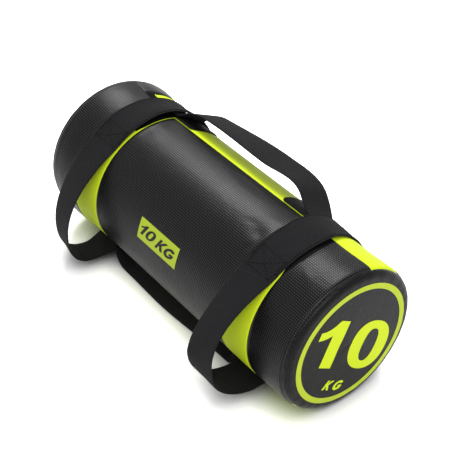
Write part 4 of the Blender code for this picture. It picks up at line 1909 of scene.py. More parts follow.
NEAR_LOOP = LoopShape(
    "near_loop", End.NEAR, Body.NEAR_LOOP, reach=0.0482, belly_drop=0.015, low_setback=0.0632,
    low_height=0.0185, leave_pull=0.022, belly_pull=0.062, fold_pull=0.048, low_pull=0.014,
    return_pull=0.006, belly_lean=0.0, low_lean=0.0012, leave_lean_share=0.62,
    far_edge_lift=((-95, 0), (-70, 0.0006), (-49, 0.0020), (-35, 0.0038), (-17, 0.0046), (-6, 0.0040),
                   (3, 0.0014), (12, 0.0002), (22, 0.0009), (33, 0.0012)),
    near_edge_lift=((-60, 0), (-42, 0.0002), (-28, 0.0012), (-17, 0.0036), (-8, 0.0022), (4, 0.0004),
                    (33, 0)),
    pinch=0.0095)
FAR_LOOP = LoopShape(
    "far_loop", End.FAR, Body.FAR_LOOP, reach=0.0400, belly_drop=0.033, low_setback=0.050,
    low_height=0.0095, leave_pull=0.014, belly_pull=0.072, fold_pull=0.048, low_pull=0.020,
    return_pull=0.006, belly_lean=0.005, low_lean=-0.005, leave_lean_share=0.15,
    far_edge_lift=((-95, 0), (-70, 0.0004), (-35, 0.0012), (-10, 0.0008), (20, 0)),
    near_edge_lift=((-95, 0), (-72, 0.0010), (-49, 0.0036), (-32, 0.0064), (-14, 0.0078), (-6, 0.0070),
                    (6, 0.0050), (18, 0.0030), (33, 0.0006)))


@dataclass
class StrapWithLoop:
    """A strap that is sewn round the bag and stands off its front as a hand loop.

    Args:
        form: The bag.
        shape: The loop's shape.
        section: The webbing's cross section.
        sewn_rows: Rings along the sewn part.
        free_rows: Rings along each of the loop's three curves.
        blend_start: Meant as where along -Y the loop starts to follow its own body; not used.
        blend_end: Meant as where it follows it wholly; not used.
        ripple: How far the loop's edges wave.
        ripple_standoff: How far it has to stand off to wave freely.
        ripple_rates: How fast the waves run along each curve and across the webbing.
        ripple_fades: The shares of its first and last curves in which it doesn't wave freely.
        leave_run: The share of its first curve in which it takes up the strap's lift.
        return_run: The share of its last curve in which it takes up the cover's swelling.
        lift_from: The angle in degrees where the strap starts to stand off the cover.
        lift_run: The angle over which it does.
        lift_to: The angle where it stops.
        pinch_from: The angle where the strap starts to be drawn in.
        pinch_run: The angle over which it is.
        pinch_to: The angle where it is back in its place.
        pinch_fade: The angle over which it comes back.
        box: The angles between which the crossed box lies, in degrees.
        cross_edge: How far across, from 0 to 1, the crossed box reaches.
        edge_stitch: How far across the rows of stitches along the edges lie.
        stitch_lift: How high the stitches lie over the webbing.
        leave_length: How long the loop's first curve is, about, to place the stitches on it.
        row_insets: How far in from its two ends the edges' rows stop, as angles.
    """

    form: BagForm
    shape: LoopShape
    section: WebbingSection = WebbingSection()
    sewn_rows: int = 120
    free_rows: int = 56
    blend_start: float = -0.100
    blend_end: float = -0.125
    ripple: float = 0.0005
    ripple_standoff: float = 0.01
    ripple_rates: tuple[float, float] = (5.3, 2.2)
    ripple_fades: tuple[float, float] = (0.3, 0.5)
    leave_run: float = 0.7
    return_run: float = 0.5
    lift_from: float = -130
    lift_run: float = 35
    lift_to: float = 40
    pinch_from: float = -150
    pinch_run: float = 50
    pinch_to: float = -4
    pinch_fade: float = 46
    box: tuple[float, float] = (22, 41)
    cross_edge: float = 0.80
    edge_stitch: float = 0.90
    stitch_lift: float = 0.0001
    leave_length: float = 0.12
    row_insets: tuple[float, float] = (0.05, 0.02)

    @property
    def strap_name(self) -> str:
        """The name of the strap's node."""
        return self.shape.name.replace("loop", "strap")

    def surface_place(self, angle: float, radius: float) -> Vector:
        """Returns Y and Z at an angle round the bag."""
        return Vector((-radius * math.sin(angle), self.form.axis_height + radius * math.cos(angle)))

    def curves(self) -> tuple[tuple, tuple, tuple]:
        """Returns the loop's three curves in Y and Z: to its belly, to its low point, back."""
        form, shape = self.form, self.shape
        down, inward = Vector((0, -1)), Vector((1, 0))
        leave = self.surface_place(form.leave_angle, form.strap_radius)
        back = self.surface_place(form.return_angle, form.strap_radius)
        belly = Vector((-form.radius - shape.reach, form.axis_height - shape.belly_drop))
        low = Vector((belly.x + shape.low_setback, shape.low_height))
        leave_way = Vector((-math.cos(form.leave_angle), -math.sin(form.leave_angle)))
        back_way = Vector((-math.cos(form.return_angle), -math.sin(form.return_angle)))
        upper = (leave, leave + leave_way * shape.leave_pull, belly - down * shape.belly_pull, belly)
        fold = (belly, belly + down * shape.fold_pull, low - inward * shape.low_pull, low)
        lower = (low, low + inward * shape.return_pull, back - back_way * shape.return_pull, back)
        return upper, fold, lower

    def lean(self, share: float, standoff: float) -> float:
        """Returns how far the near edge stands out of line with the middle of the webbing.

        Args:
            share: How far along the loop's three curves, from 0 to 3.
            standoff: How far the webbing stands off the bag there.

        Returns:
            The distance.
        """
        shape = self.shape
        if share < 1:
            return standoff * shape.leave_lean_share * (1 - share) + shape.belly_lean * smooth_share(share)
        eased = smooth_share(share % 1 if share < 3 else 1.0)
        if share < 2:
            return shape.belly_lean + (shape.low_lean - shape.belly_lean) * eased
        return shape.low_lean * (1 - eased)

    def free_point(self, share: float, across: float, height: float) -> tuple:
        """Returns a point of the free loop.

        Args:
            share: How far along its three curves, from 0 to 3.
            across: From -1 at the far edge to 1 at the near edge.
            height: The distance from the middle of the webbing's thickness.

        Returns:
            X, Y and Z.
        """
        index = min(2, int(share))
        middle, heading = bezier(self.curves()[index], share - index)
        outward = Vector((heading.y, -heading.x))
        standoff = (middle - Vector((0, self.form.axis_height))).length - self.form.strap_radius
        (along_rate, across_rate), (first, last) = self.ripple_rates, self.ripple_fades
        fade = min(1.0, standoff / self.ripple_standoff, (3 - share) / last, share / first)
        turned = along_rate * share + across_rate * across
        wave = self.ripple * math.sin(turned) * across * max(0.0, fade)
        x = self.form.strap_place(self.shape.end) + across * self.section.width / 2
        rest = self.form.far_swell(x)
        left = smooth_share(share / self.leave_run)
        start = (self.lift(self.form.leave_angle, across) + rest) * (1 - left)
        end = rest * smooth_share((share - 3 + self.return_run) / self.return_run)
        place = middle + outward * (self.lean(share, standoff) * across + height + wave + start + end)
        return (x, place.x, place.y)

    @staticmethod
    def eased(knots: Sequence[tuple[float, float]], at: float) -> float:
        """Returns a value between knots, with level ends at each knot; places are in degrees.

        Args:
            knots: Each knot's place and value.
            at: The place.

        Returns:
            The value.
        """
        if at <= knots[0][0] or at >= knots[-1][0]:
            return knots[0][1] if at <= knots[0][0] else knots[-1][1]
        places = [place for place, _ in knots]
        values = [value for _, value in knots]
        straight = float(np.interp(at, places, values))
        around = [float(np.interp(at + step, places, values)) for step in (-5, -2.5, 2.5, 5)]
        return (straight * 2 + sum(around)) / 6

    def lift(self, angle: float, across: float) -> float:
        """Returns how far the strap stands off the cover, over the handle's foot and beside it.

        Args:
            angle: The angle round the bag.
            across: From -1 at the far edge to 1 at the near edge.

        Returns:
            The distance.
        """
        turned = math.degrees(wrapped(angle))
        share = smooth_share((across + 1) / 2)
        far = self.eased(self.shape.far_edge_lift, turned)
        near = self.eased(self.shape.near_edge_lift, turned)
        past = smooth_share((turned - self.lift_from) / self.lift_run) * (turned < self.lift_to)
        return (far * (1 - share) + near * share) * past

    def sewn_place(self, angle: float, across: float) -> float:
        """Returns the place along X on the strap, which is drawn in behind the handle's foot.

        Args:
            angle: The angle round the bag.
            across: From -1 at the far edge to 1 at the near edge.

        Returns:
            The place.
        """
        turned = math.degrees(wrapped(angle))
        drawn = (smooth_share((self.pinch_to - turned) / self.pinch_fade)
                 * smooth_share((turned - self.pinch_from) / self.pinch_run))
        inward = self.shape.pinch * drawn * max(0.0, across)
        return self.form.strap_place(self.shape.end) + across * self.section.width / 2 - inward

    def sewn_point(self, angle: float, across: float, height: float) -> tuple:
        """Returns a point of the strap where it lies on the bag, flat where the bag rests on it.

        Args:
            angle: The angle round the bag.
            across: From -1 at the far edge to 1 at the near edge.
            height: The distance from the middle of its thickness.

        Returns:
            X, Y and Z.
        """
        x = self.sewn_place(angle, across)
        radius = self.form.strap_radius + height + self.lift(angle, across) + self.form.far_swell(x)
        place = self.surface_place(angle, radius)
        level = max(place.y, self.section.thickness / 2 - height)
        return (x, place.x, level)

    def build_webbing(self) -> None:
        """Builds the strap and its loop as one closed band."""
        form, shape, outline = self.form, self.shape, self.section.outline()
        sewn = np.linspace(form.return_angle, form.leave_angle + math.tau, self.sewn_rows, endpoint=False)
        free = np.linspace(0, 3, 3 * self.free_rows, endpoint=False)
        rings = [[point(place, across, height) for across, height in outline]
                 for point, places in ((self.sewn_point, sewn), (self.free_point, free)) for place in places]
        band = self.section.band(shape.name + "_webbing", rings, closed=True)
        nodes = (self.strap_name, shape.name)
        dressed_bend(band, shape.body, nodes)

    def on_top(self, angle: float, across: float) -> tuple:
        """Returns a point on the strap's outer face, on the bag or just past where it leaves.

        Args:
            angle: The angle round the bag, past a full turn at the loop.
            across: From -1 at the far edge to 1 at the near edge.

        Returns:
            X, Y and Z.
        """
        high = self.section.thickness / 2 + self.stitch_lift
        if angle <= self.form.leave_angle + math.tau:
            return self.sewn_point(angle, across, high)
        reach = (angle - self.form.leave_angle - math.tau) * self.form.radius
        return self.free_point(min(0.9, reach / self.leave_length), across, high)

    def build_stitches(self) -> None:
        """Sews both edges of the strap down and crosses a box where the loop leaves it."""
        first = self.form.return_angle + self.row_insets[0]
        last = self.form.leave_angle + math.tau - self.row_insets[1]
        angles = np.linspace(first, last, 150)
        rows = (-self.edge_stitch, self.edge_stitch)
        lines = [[self.on_top(angle, across) for angle in angles] for across in rows]
        low, high = (math.radians(side) + math.tau for side in self.box)
        edge = self.cross_edge
        corners = [(low, -edge), (high, -edge), (high, edge), (low, edge), (low, -edge)]
        crosses = [(low, -edge), (high, edge)], [(low, edge), (high, -edge)]
        for run in (corners, *crosses):
            line = []
            for (angle, across), (next_angle, next_across) in zip(run, run[1:]):
                for share in np.linspace(0, 1, 16, endpoint=False):
                    turned = angle + (next_angle - angle) * share
                    line.append(self.on_top(turned, across + (next_across - across) * share))
            line.append(self.on_top(*run[-1]))
            lines.append(line)
        STITCHER.sew(self.strap_name + "_stitching", lines, Body.BAG)

    def build(self) -> None:
        """Builds the band and its stitching."""
        self.build_webbing()
        self.build_stitches()


@dataclass(frozen=True)
class Lie:
    """How webbing lies at one place: its shift sideways, its lean and how far it wraps the bag."""

    shift: float
    lean: float
    wrap: float = 0.0


SEWN = Lie(0.0, 0.0, 1.0)


@dataclass(frozen=True)
class LegShape:
    """One leg of a handle.

    Args:
        length: How far from its strap it meets the grip.
        height: How high it is there, over the cover.
        rise: Its slope there.
        lie: How it lies there.
        pulls: How long the curve's handles are, at the foot and at the grip, as shares of its length.
        flat: How much of the foot lies flat before it rises.
        turn_share: The share of its length in which it turns from the foot's lie.
        patch: The length of the patch under it.
    """

    length: float
    height: float
    rise: float
    lie: Lie
    pulls: tuple[float, float]
    flat: float
    turn_share: float
    patch: float


@dataclass(frozen=True)
class HandleShape:
    """One handle along the bag.

    Args:
        name: The name that its nodes start with.
        body: The body of its grip.
        angle: Where it lies round the bag.
        hinge_height: How high its hinge is over the cover.
        hinge_shift: How far its hinge lies sideways.
        crown_share: Where along the grip its highest point is.
        crown_height: How high that is over the cover.
        crown_lie: How the webbing lies there.
        far: Its far leg.
        near: Its near leg.
        patch_half_angle: Half the angle that its patches span.
        tuck: How far its feet run in under the straps.
    """

    name: str
    body: Body
    angle: float
    hinge_height: float
    hinge_shift: float
    crown_share: float
    crown_height: float
    crown_lie: Lie
    far: LegShape
    near: LegShape
    patch_half_angle: float
    tuck: float

    def leg(self, end: End) -> LegShape:
        """Returns the leg at one end."""
        return self.near if end is End.NEAR else self.far


BACK_HANDLE = HandleShape(
    "back_handle", Body.BACK_GRIP, math.radians(-35), hinge_height=0.0175, hinge_shift=0.0,
    crown_share=0.63, crown_height=0.0272, crown_lie=Lie(0.0, math.radians(18.5)),
    far=LegShape(length=0.0417, height=0.0215, rise=math.radians(5), lie=Lie(0.0, math.radians(8)),
                 pulls=(0.08, 0.62), flat=0.001, turn_share=0.7, patch=0.042),
    near=LegShape(length=0.0287, height=0.0183, rise=math.radians(-38), lie=Lie(0.0, math.radians(9)),
                  pulls=(0.12, 0.62), flat=0.001, turn_share=1.0, patch=0.0525),
    patch_half_angle=math.radians(15.8), tuck=0.010)
FRONT_HANDLE = HandleShape(
    "front_handle", Body.FRONT_GRIP, math.radians(145), hinge_height=0.0070, hinge_shift=-0.0078,
    crown_share=0.38, crown_height=0.0121, crown_lie=Lie(-0.0063, math.radians(35)),
    far=LegShape(length=0.0357, height=0.01105, rise=0.0, lie=Lie(-0.0082, math.radians(35)),
                 pulls=(0.30, 0.50), flat=0.002, turn_share=0.85, patch=0.042),
    near=LegShape(length=0.0287, height=0.0074, rise=0.0, lie=Lie(-0.0146, math.radians(35)),
                  pulls=(0.30, 0.50), flat=0.002, turn_share=0.55, patch=0.042),
    patch_half_angle=math.radians(11), tuck=0.0)


@dataclass
class LongHandle:
    """A handle along the bag: two sewn feet on patches, and the free grip between them.

    Args:
        form: The bag.
        relief: The cover that it is sewn to.
        shape: The handle's shape.
        section: The webbing's cross section.
        patch_thickness: The thickness of the reinforcing patches.
        seam_gap: The gap where the grip meets a leg.
        rows_per_metre: Rings along the webbing.
        crown_pull: How long the grip's curve handles are, as a share of its length.
        tip_rounding: How far the corners of a patch's inner end are rounded back.
        edge_roll: How far a patch's edges roll down.
        roll_share: The share of a patch's width that rolls down.
        stitch_lift: How high the stitches lie over a patch.
        side_inset: How far in from a patch's sides its stitches run.
        tip_inset: How far in from its inner end they run.
        corner_reach: How far before its inner end they turn in from its sides.
    """

    form: BagForm
    relief: CoverRelief
    shape: HandleShape
    section: WebbingSection = WebbingSection()
    patch_thickness: float = 0.001
    seam_gap: float = 0.0001
    rows_per_metre: int = 420
    crown_pull: float = 0.33
    tip_rounding: float = 0.010
    edge_roll: float = 0.0004
    roll_share: float = 0.03
    stitch_lift: float = 0.0001
    side_inset: float = 0.0028
    tip_inset: float = 0.003
    corner_reach: float = 0.0135

    @property
    def foot_height(self) -> float:
        """How high the middle of a sewn foot lies over the cover."""
        return 2 * self.form.clearance + self.patch_thickness + self.section.thickness / 2

    @property
    def patch_top(self) -> float:
        """The radius of a patch's outer face."""
        return self.form.radius + self.form.clearance + self.patch_thickness

    def tip_setback(self, across: Array) -> Array:
        """Returns how far a patch's inner end is set back, by places across from -1 to 1."""
        return self.tip_rounding * (1 - np.sqrt(1 - 0.96 * across**4))

    def frame(self) -> tuple[Vector, Vector, Vector]:
        """Returns the hinge in Y and Z, the way out from the bag and the way sideways."""
        angle, shape = self.shape.angle, self.shape
        outward = Vector((-math.sin(angle), math.cos(angle)))
        sideways = Vector((math.cos(angle), math.sin(angle)))
        hinge = Vector((0, self.form.axis_height)) + outward * (self.form.radius + shape.hinge_height)
        return hinge + sideways * shape.hinge_shift, outward, sideways

    def ring(self, place: Vector, rise: float, lie: Lie) -> list[tuple]:
        """Builds one ring of the handle.

        Args:
            place: X and the height over the cover.
            rise: The slope of the webbing there.
            lie: How it lies.

        Returns:
            The ring's points.
        """
        hinge, outward, sideways = self.frame()
        across_way = sideways * math.cos(lie.lean) + outward * math.sin(lie.lean)
        face_way = outward * math.cos(lie.lean) - sideways * math.sin(lie.lean)
        middle = hinge + face_way * (place.y - self.shape.hinge_height)
        middle += sideways * (lie.shift - self.shape.hinge_shift)
        points = []
        for across, height in self.section.outline():
            reach = across * self.section.width / 2
            turn = lie.wrap * reach / (self.form.radius + self.foot_height)
            run = reach * math.sin(turn) / turn if turn else reach
            drop = run * math.tan(turn / 2)
            bent_way = face_way * math.cos(turn) + across_way * math.sin(turn)
            spot = middle + across_way * run - face_way * drop + bent_way * height / math.cos(rise)
            points.append((place.x, spot.x, max(spot.y, 0.0)))
        return points

    def cut_point(self, end: End, gap: float) -> tuple[Vector, Vector]:
        """Returns where the grip meets a leg, a gap away from it, and the way it heads.

        Args:
            end: Which end of the bag.
            gap: How far from the cut, along X.

        Returns:
            The place and the way.
        """
        leg = self.shape.leg(end)
        place = Vector((self.form.strap_edge(end) - end.value * leg.length + gap, leg.height))
        return place, Vector((math.cos(leg.rise), math.sin(leg.rise)))

    def run(
        self, curve: Sequence[Vector], first: Lie, last: Lie, turn_share: float = 1.0
    ) -> list[list[tuple]]:
        """Builds rings along one curve of X and height.

        Args:
            curve: The curve's start, handles and end.
            first: How the webbing lies at its start.
            last: How it lies at its end.
            turn_share: The share of the curve in which it turns from one lie to the other.

        Returns:
            The rings.
        """
        rings = []
        count = max(6, round((curve[3] - curve[0]).length * self.rows_per_metre))
        for row in range(count + 1):
            share = row / count
            place, heading = bezier(curve, share)
            eased = smooth_share(share / turn_share)
            values = [a + (b - a) * eased for a, b in
                      ((first.shift, last.shift), (first.lean, last.lean), (first.wrap, last.wrap))]
            rings.append(self.ring(place, math.atan2(heading.y, abs(heading.x)), Lie(*values)))
        return rings

    def build_leg(self, end: End) -> None:
        """Builds a foot, tucked under its strap, with the leg that rises from it.

        Args:
            end: Which end of the bag.
        """
        shape = self.shape
        leg_shape = shape.leg(end)
        start = Vector((self.form.strap_edge(end) - end.value * leg_shape.flat, self.foot_height))
        stop, stop_way = self.cut_point(end, end.value * self.seam_gap / 2)
        first_pull, last_pull = (share * (stop.x - start.x) for share in leg_shape.pulls)
        curve = (start, start + Vector((first_pull, 0)), stop - stop_way * last_pull, stop)
        outer = start + Vector((end.value * (leg_shape.flat + shape.tuck), 0))
        rings = [self.ring(outer + (start - outer) * share, 0, SEWN) for share in np.linspace(0, 1, 9)[:-1]]
        rings += self.run(curve, SEWN, leg_shape.lie, leg_shape.turn_share)
        node = f"{shape.name}_{end.word}_foot"
        leg = self.section.band(node + "_webbing", rings, closed=False)
        dressed_bend(leg, shape.body, [node])

    def build_grip(self) -> None:
        """Builds the free part of the handle."""
        shape = self.shape
        far, far_way = self.cut_point(End.FAR, self.seam_gap / 2)
        near, near_way = self.cut_point(End.NEAR, -self.seam_gap / 2)
        crown = Vector((far.x + (near.x - far.x) * shape.crown_share, shape.crown_height))
        far_pull = self.crown_pull * (crown.x - far.x)
        near_pull = self.crown_pull * (near.x - crown.x)
        rising = (far, far + far_way * far_pull, crown - Vector((far_pull, 0)), crown)
        falling = (crown, crown + Vector((near_pull, 0)), near - near_way * near_pull, near)
        rings = self.run(rising, shape.far.lie, shape.crown_lie)
        rings += self.run(falling, shape.crown_lie, shape.near.lie)[1:]
        grip = self.section.band(shape.name + "_grip_webbing", rings, closed=False)
        dressed(grip, shape.body, Slot.WEBBING, [shape.name + "_grip"])

    def build_patch(self, end: End) -> None:
        """Builds the reinforcing patch under one foot, with a rounded inner end.

        Args:
            end: Which end of the bag.
        """
        form, shape = self.form, self.shape
        outer = form.strap_edge(end)
        length = shape.leg(end).patch
        across = np.linspace(-1, 1, 45)
        along = np.linspace(0, 1, 26)
        x = outer - end.value * along[:, None] * (length - self.tip_setback(across)[None, :])
        angle = np.broadcast_to(shape.angle + across[None, :] * shape.patch_half_angle, x.shape)
        edge = np.minimum(1 - abs(across)[None, :], (1 - along[:, None]) * 2)
        rolled = self.edge_roll * bump_at(edge, self.roll_share)
        upper = form.point(x, angle, self.patch_top - rolled, -form.clearance - self.patch_thickness)
        lower = form.point(x, angle, form.radius + form.clearance, -form.clearance)
        uv = np.stack([angle * form.radius, x], axis=-1)
        node = f"{shape.name}_{end.word}_patch"
        patch = shell(node + "_fabric", upper, lower, uv, PATCH_FABRIC)
        dressed(patch, Body.BAG, Slot.BLACK_FABRIC, [node])

    def build_stitches(self) -> None:
        """Sews the patches down round their edges and the feet across their flats."""
        form, shape = self.form, self.shape
        lines = []
        for end in End:
            length = shape.leg(end).patch
            outer = form.strap_edge(end)
            half = shape.patch_half_angle - self.side_inset / form.radius
            high = self.patch_top + self.stitch_lift
            stop = outer - end.value * (length - self.corner_reach)
            places = np.linspace(outer, stop, 14)
            sides = [form.point(places, shape.angle + side * half, high) for side in (-1, 1)]
            across = np.linspace(-1, 1, 22)
            tip = outer - end.value * (length - self.tip_setback(across) - self.tip_inset)
            cross = form.point(tip, shape.angle + across * half, high)
            lines.append(np.concatenate([sides[0], cross, sides[1][::-1]]))
        STITCHER.sew(shape.name + "_patch_stitching", lines, Body.BAG)

    def build(self) -> None:
        """Builds the whole handle."""
        for end in End:
            self.build_patch(end)
            self.build_leg(end)
        self.build_grip()
        self.build_stitches()


# ---------------------------------------------------------------- the filling


@dataclass
class Filling:
    """What the cover holds: wadding, end pads, the sack, its tie and the sand.

    Args:
        form: The bag.
        relief: The cover that presses on the wadding.
        sand_radius: The radius of the sand.
        shoulder: The length over which the sand narrows to the neck.
        sack_thickness: The sack cloth's thickness.
        neck_radius: The radius of the gathered neck.
        neck_length: Its length.
        tie_width: The width of the tie.
        tie_thickness: Its thickness.
        pad_thickness: The thickness of the end pads.
        pad_ease: How far the pads' rims stay inside the cover, beyond the clearance.
        tuft: How uneven the wadding is.
        neck_reach: The length over which the cloth and the sand draw in by the neck.
        gather: How deep the cloth's gathers are there.
        slump: How far the sand sinks there.
        slack: How far it stays off the cloth everywhere.
        tie_ease: How far the tie's corners are eased.
        tie_rib: How deep the tie's ribs are.
        segments: Points round each piece.
    """

    form: BagForm
    relief: CoverRelief
    sand_radius: float = 0.0665
    shoulder: float = 0.023
    sack_thickness: float = 0.0008
    neck_radius: float = 0.014
    neck_length: float = 0.018
    tie_width: float = 0.0048
    tie_thickness: float = 0.0013
    pad_thickness: float = 0.012
    pad_ease: float = 0.0008
    tuft: float = 0.0002
    neck_reach: float = 0.012
    gather: float = 0.0014
    slump: float = 0.0016
    slack: float = 0.0003
    tie_ease: float = 0.0003
    tie_rib: float = 0.00012
    segments: int = 144

    @property
    def pad_inner(self) -> float:
        """The place along X of an end pad's inner face."""
        form = self.form
        return form.half_length - form.cover_thickness - form.clearance - self.pad_thickness

    def turned(
        self, name: str, profile: Array, finish: Finish, ruffle: Place | None = None
    ) -> bpy.types.Object:
        """Turns a closed profile round the bag's axis.

        Args:
            name: The piece's name.
            profile: Places along X and radii; a start and an end at radius 0 become poles.
            finish: Its surface.
            ruffle: Adds to the radius by place and angle.

        Returns:
            The new object.
        """
        poles = profile[0, 1] == 0
        body = profile[1:-1] if poles else profile
        angle = full_turn(self.segments)[None, :]
        x = np.broadcast_to(body[:, :1], (len(body), self.segments))
        radius = np.broadcast_to(body[:, 1:], x.shape)
        if ruffle:
            radius = radius + ruffle(x, angle)
        z = np.maximum(self.form.axis_height + radius * np.cos(angle), self.form.cover_thickness)
        points = np.stack([x, -radius * np.sin(angle), z], axis=-1)
        faces = grid_faces(len(body), self.segments, wrap_rows=not poles, wrap_columns=True)
        flat = points.reshape(-1, 3)
        if poles:
            for row, place in ((0, profile[0, 0]), (len(body) - 1, profile[-1, 0])):
                faces += fan_faces(row * self.segments, self.segments, len(flat))
                flat = np.concatenate([flat, [[place, 0, self.form.axis_height]]])
        return new_piece(name, flat, faces, finish)

    @staticmethod
    def finer(corners: Sequence[tuple[float, float]], step: float = 0.006) -> Array:
        """Divides a profile's straight runs into short steps.

        Args:
            corners: The profile's corners, as X and radius.
            step: The longest that a step may be.

        Returns:
            The finer profile.
        """
        points = []
        for (x, radius), (next_x, next_radius) in zip(corners, corners[1:]):
            count = max(1, round(math.hypot(next_x - x, next_radius - radius) / step))
            for share in np.linspace(0, 1, count, endpoint=False):
                points.append((x + (next_x - x) * share, radius + (next_radius - radius) * share))
        return np.array(points + [corners[-1]])

    def build_pads(self) -> None:
        """Builds the foam discs behind the caps, with eased edges."""
        form = self.form
        depth = form.cover_thickness + form.clearance
        inner, outer = self.pad_inner, form.half_length - depth
        turn = np.linspace(0, math.pi / 2, 9)
        for end in End:
            seam = end.value * form.seam_place
            swell = form.far_swell(seam)
            rim_radius = form.radius - form.end_turn_drop - depth + swell
            corners = [(inner, 0), (inner, rim_radius - 0.001), (inner + 0.001, rim_radius)]
            drop = rim_radius - form.cap_flat_radius - swell + depth
            corners += [(form.seam_place + (outer - form.seam_place) * math.sin(a),
                         rim_radius - drop * (1 - math.cos(a))) for a in turn]
            corners += [(outer, 0)]
            profile = self.finer(corners) * np.array([end.value, 1])
            pad = self.turned(end.word + "_end_pad_foam", profile, FOAM,
                              lambda x, angle, seam=seam: form.end_lift(seam, angle) - self.pad_ease)
            dressed(pad, Body.BAG, Slot.FOAM, [end.word + "_end_pad"])

    def build_sleeve(self) -> None:
        """Builds the wadding between the cover and the sack, tufted and pressed like the cover."""
        form = self.form
        half = self.pad_inner - form.clearance
        depth = form.cover_thickness + form.clearance
        x = np.linspace(-half, half, 120)[:, None]
        x, angle = np.broadcast_arrays(x, full_turn(self.segments)[None, :])
        tufts = self.tuft * np.sin(x * 320 + 2 * np.sin(angle * 7)) * np.sin(angle * 24 + x * 60)
        pressed = np.minimum(0, self.relief.rise(x, angle) + form.cover_thickness * 0.5)
        radius = form.cover_radius(x) - depth + pressed - self.tuft + tufts
        outer = form.point(x, angle, radius, depth)
        bore = self.sand_radius + self.sack_thickness + 2 * form.clearance
        inner = form.point(x, angle, np.full(x.shape, bore))[::-1]
        rings = np.concatenate([outer, inner])
        faces = grid_faces(len(rings), self.segments, wrap_rows=True, wrap_columns=True)
        sleeve = new_piece("foam_sleeve_wadding", rings, faces, FOAM)
        dressed(sleeve, Body.BAG, Slot.FOAM, ["foam_sleeve"])

    def build_sack(self) -> None:
        """Builds the sack with its gathered neck, the tie round it and the sand in it."""
        form = self.form
        gap, cloth = form.clearance, self.sack_thickness
        bottom, mouth = gap - self.pad_inner, self.pad_inner - gap
        neck = mouth - self.neck_length
        shoulder = neck - self.shoulder
        outside, inside = self.sand_radius + gap + cloth, self.sand_radius + gap
        neck_inside = self.neck_radius - cloth
        floor = bottom + cloth
        sack = [(bottom, 0), (bottom, outside), (shoulder, outside), (neck, self.neck_radius)]
        sack += [(mouth, self.neck_radius), (mouth, neck_inside), (neck, neck_inside)]
        sack += [(shoulder, inside), (floor, inside), (floor, 0)]
        middle = (shoulder + neck) / 2

        def gathered(x: Array, angle: Array) -> Array:
            """Returns how far the cloth draws in beside the neck."""
            near_neck = bump_at(x - middle, self.neck_reach)
            return -self.gather * near_neck * (1 + np.sin(angle * 24)) / 2

        piece = self.turned("inner_sack_cloth", self.finer(sack, 0.004), SACK_CLOTH, gathered)
        dressed(piece, Body.BAG, Slot.SACK, ["inner_sack"])
        sand_neck = neck_inside - gap
        sand = [(floor + gap, 0), (floor + gap, self.sand_radius), (shoulder, self.sand_radius)]
        sand += [(neck, sand_neck), (neck, 0)]

        def loose(x: Array, angle: Array) -> Array:
            """Returns how far the sand stays in from the cloth."""
            return -self.slack - self.slump * bump_at(x - middle, self.neck_reach)

        filling = self.turned("sand_fill_grains", self.finer(sand, 0.005), SAND, loose)
        dressed(filling, Body.BAG, Slot.SAND, ["sand_fill"])
        self.build_tie(neck + (self.neck_length - self.tie_width) / 2)

    def build_tie(self, start: float) -> None:
        """Builds the cable tie as a ribbed ring with rounded edges.

        Args:
            start: Where it starts along X.
        """
        inside = self.neck_radius + self.form.clearance
        outside, end = inside + self.tie_thickness, start + self.tie_width
        ease = self.tie_ease
        tie = [(start, inside), (start, outside - ease), (start + ease, outside), (end - ease, outside),
               (end, outside - ease), (end, inside)]

        def ribbed(x: Array, angle: Array) -> Array:
            """Returns how deep the ribs are cut."""
            on_band = (abs(x - (start + end) / 2) < self.tie_width / 2 - 0.0005).astype(float)
            return -self.tie_rib * on_band * (np.sin(angle * 36) > 0)

        ring = self.turned("sack_tie_band", self.finer(tie, 0.0012), TIE_PLASTIC, ribbed)
        dressed(ring, Body.BAG, Slot.TIE, ["sack_tie"])

    def build(self) -> None:
        """Builds all of the filling."""
        self.build_pads()
        self.build_sleeve()
        self.build_sack()


# ---------------------------------------------------------------- the studio


@dataclass(frozen=True)
class Softbox:
    """A rectangular lamp that faces the bag.

    Args:
        name: The lamp's name.
        aim: The way to it from the bag.
        distance: How far off it is.
        size: Its width and height.
        watts: Its power.
    """

    name: str
    aim: tuple[float, float, float]
    distance: float
    size: tuple[float, float]
    watts: float

    def build(self, target: Vector) -> None:
        """Hangs the lamp and turns it to the target.

        Args:
            target: The point that it faces.
        """
        data = bpy.data.lights.new(self.name, "AREA")
        data.shape = "RECTANGLE"
        data.size, data.size_y = self.size
        data.energy = self.watts
        lamp = new_object(self.name, data)
        way = Vector(self.aim).normalized()
        lamp.location = target + way * self.distance
        lamp.rotation_euler = way.to_track_quat("Z", "Y").to_euler()


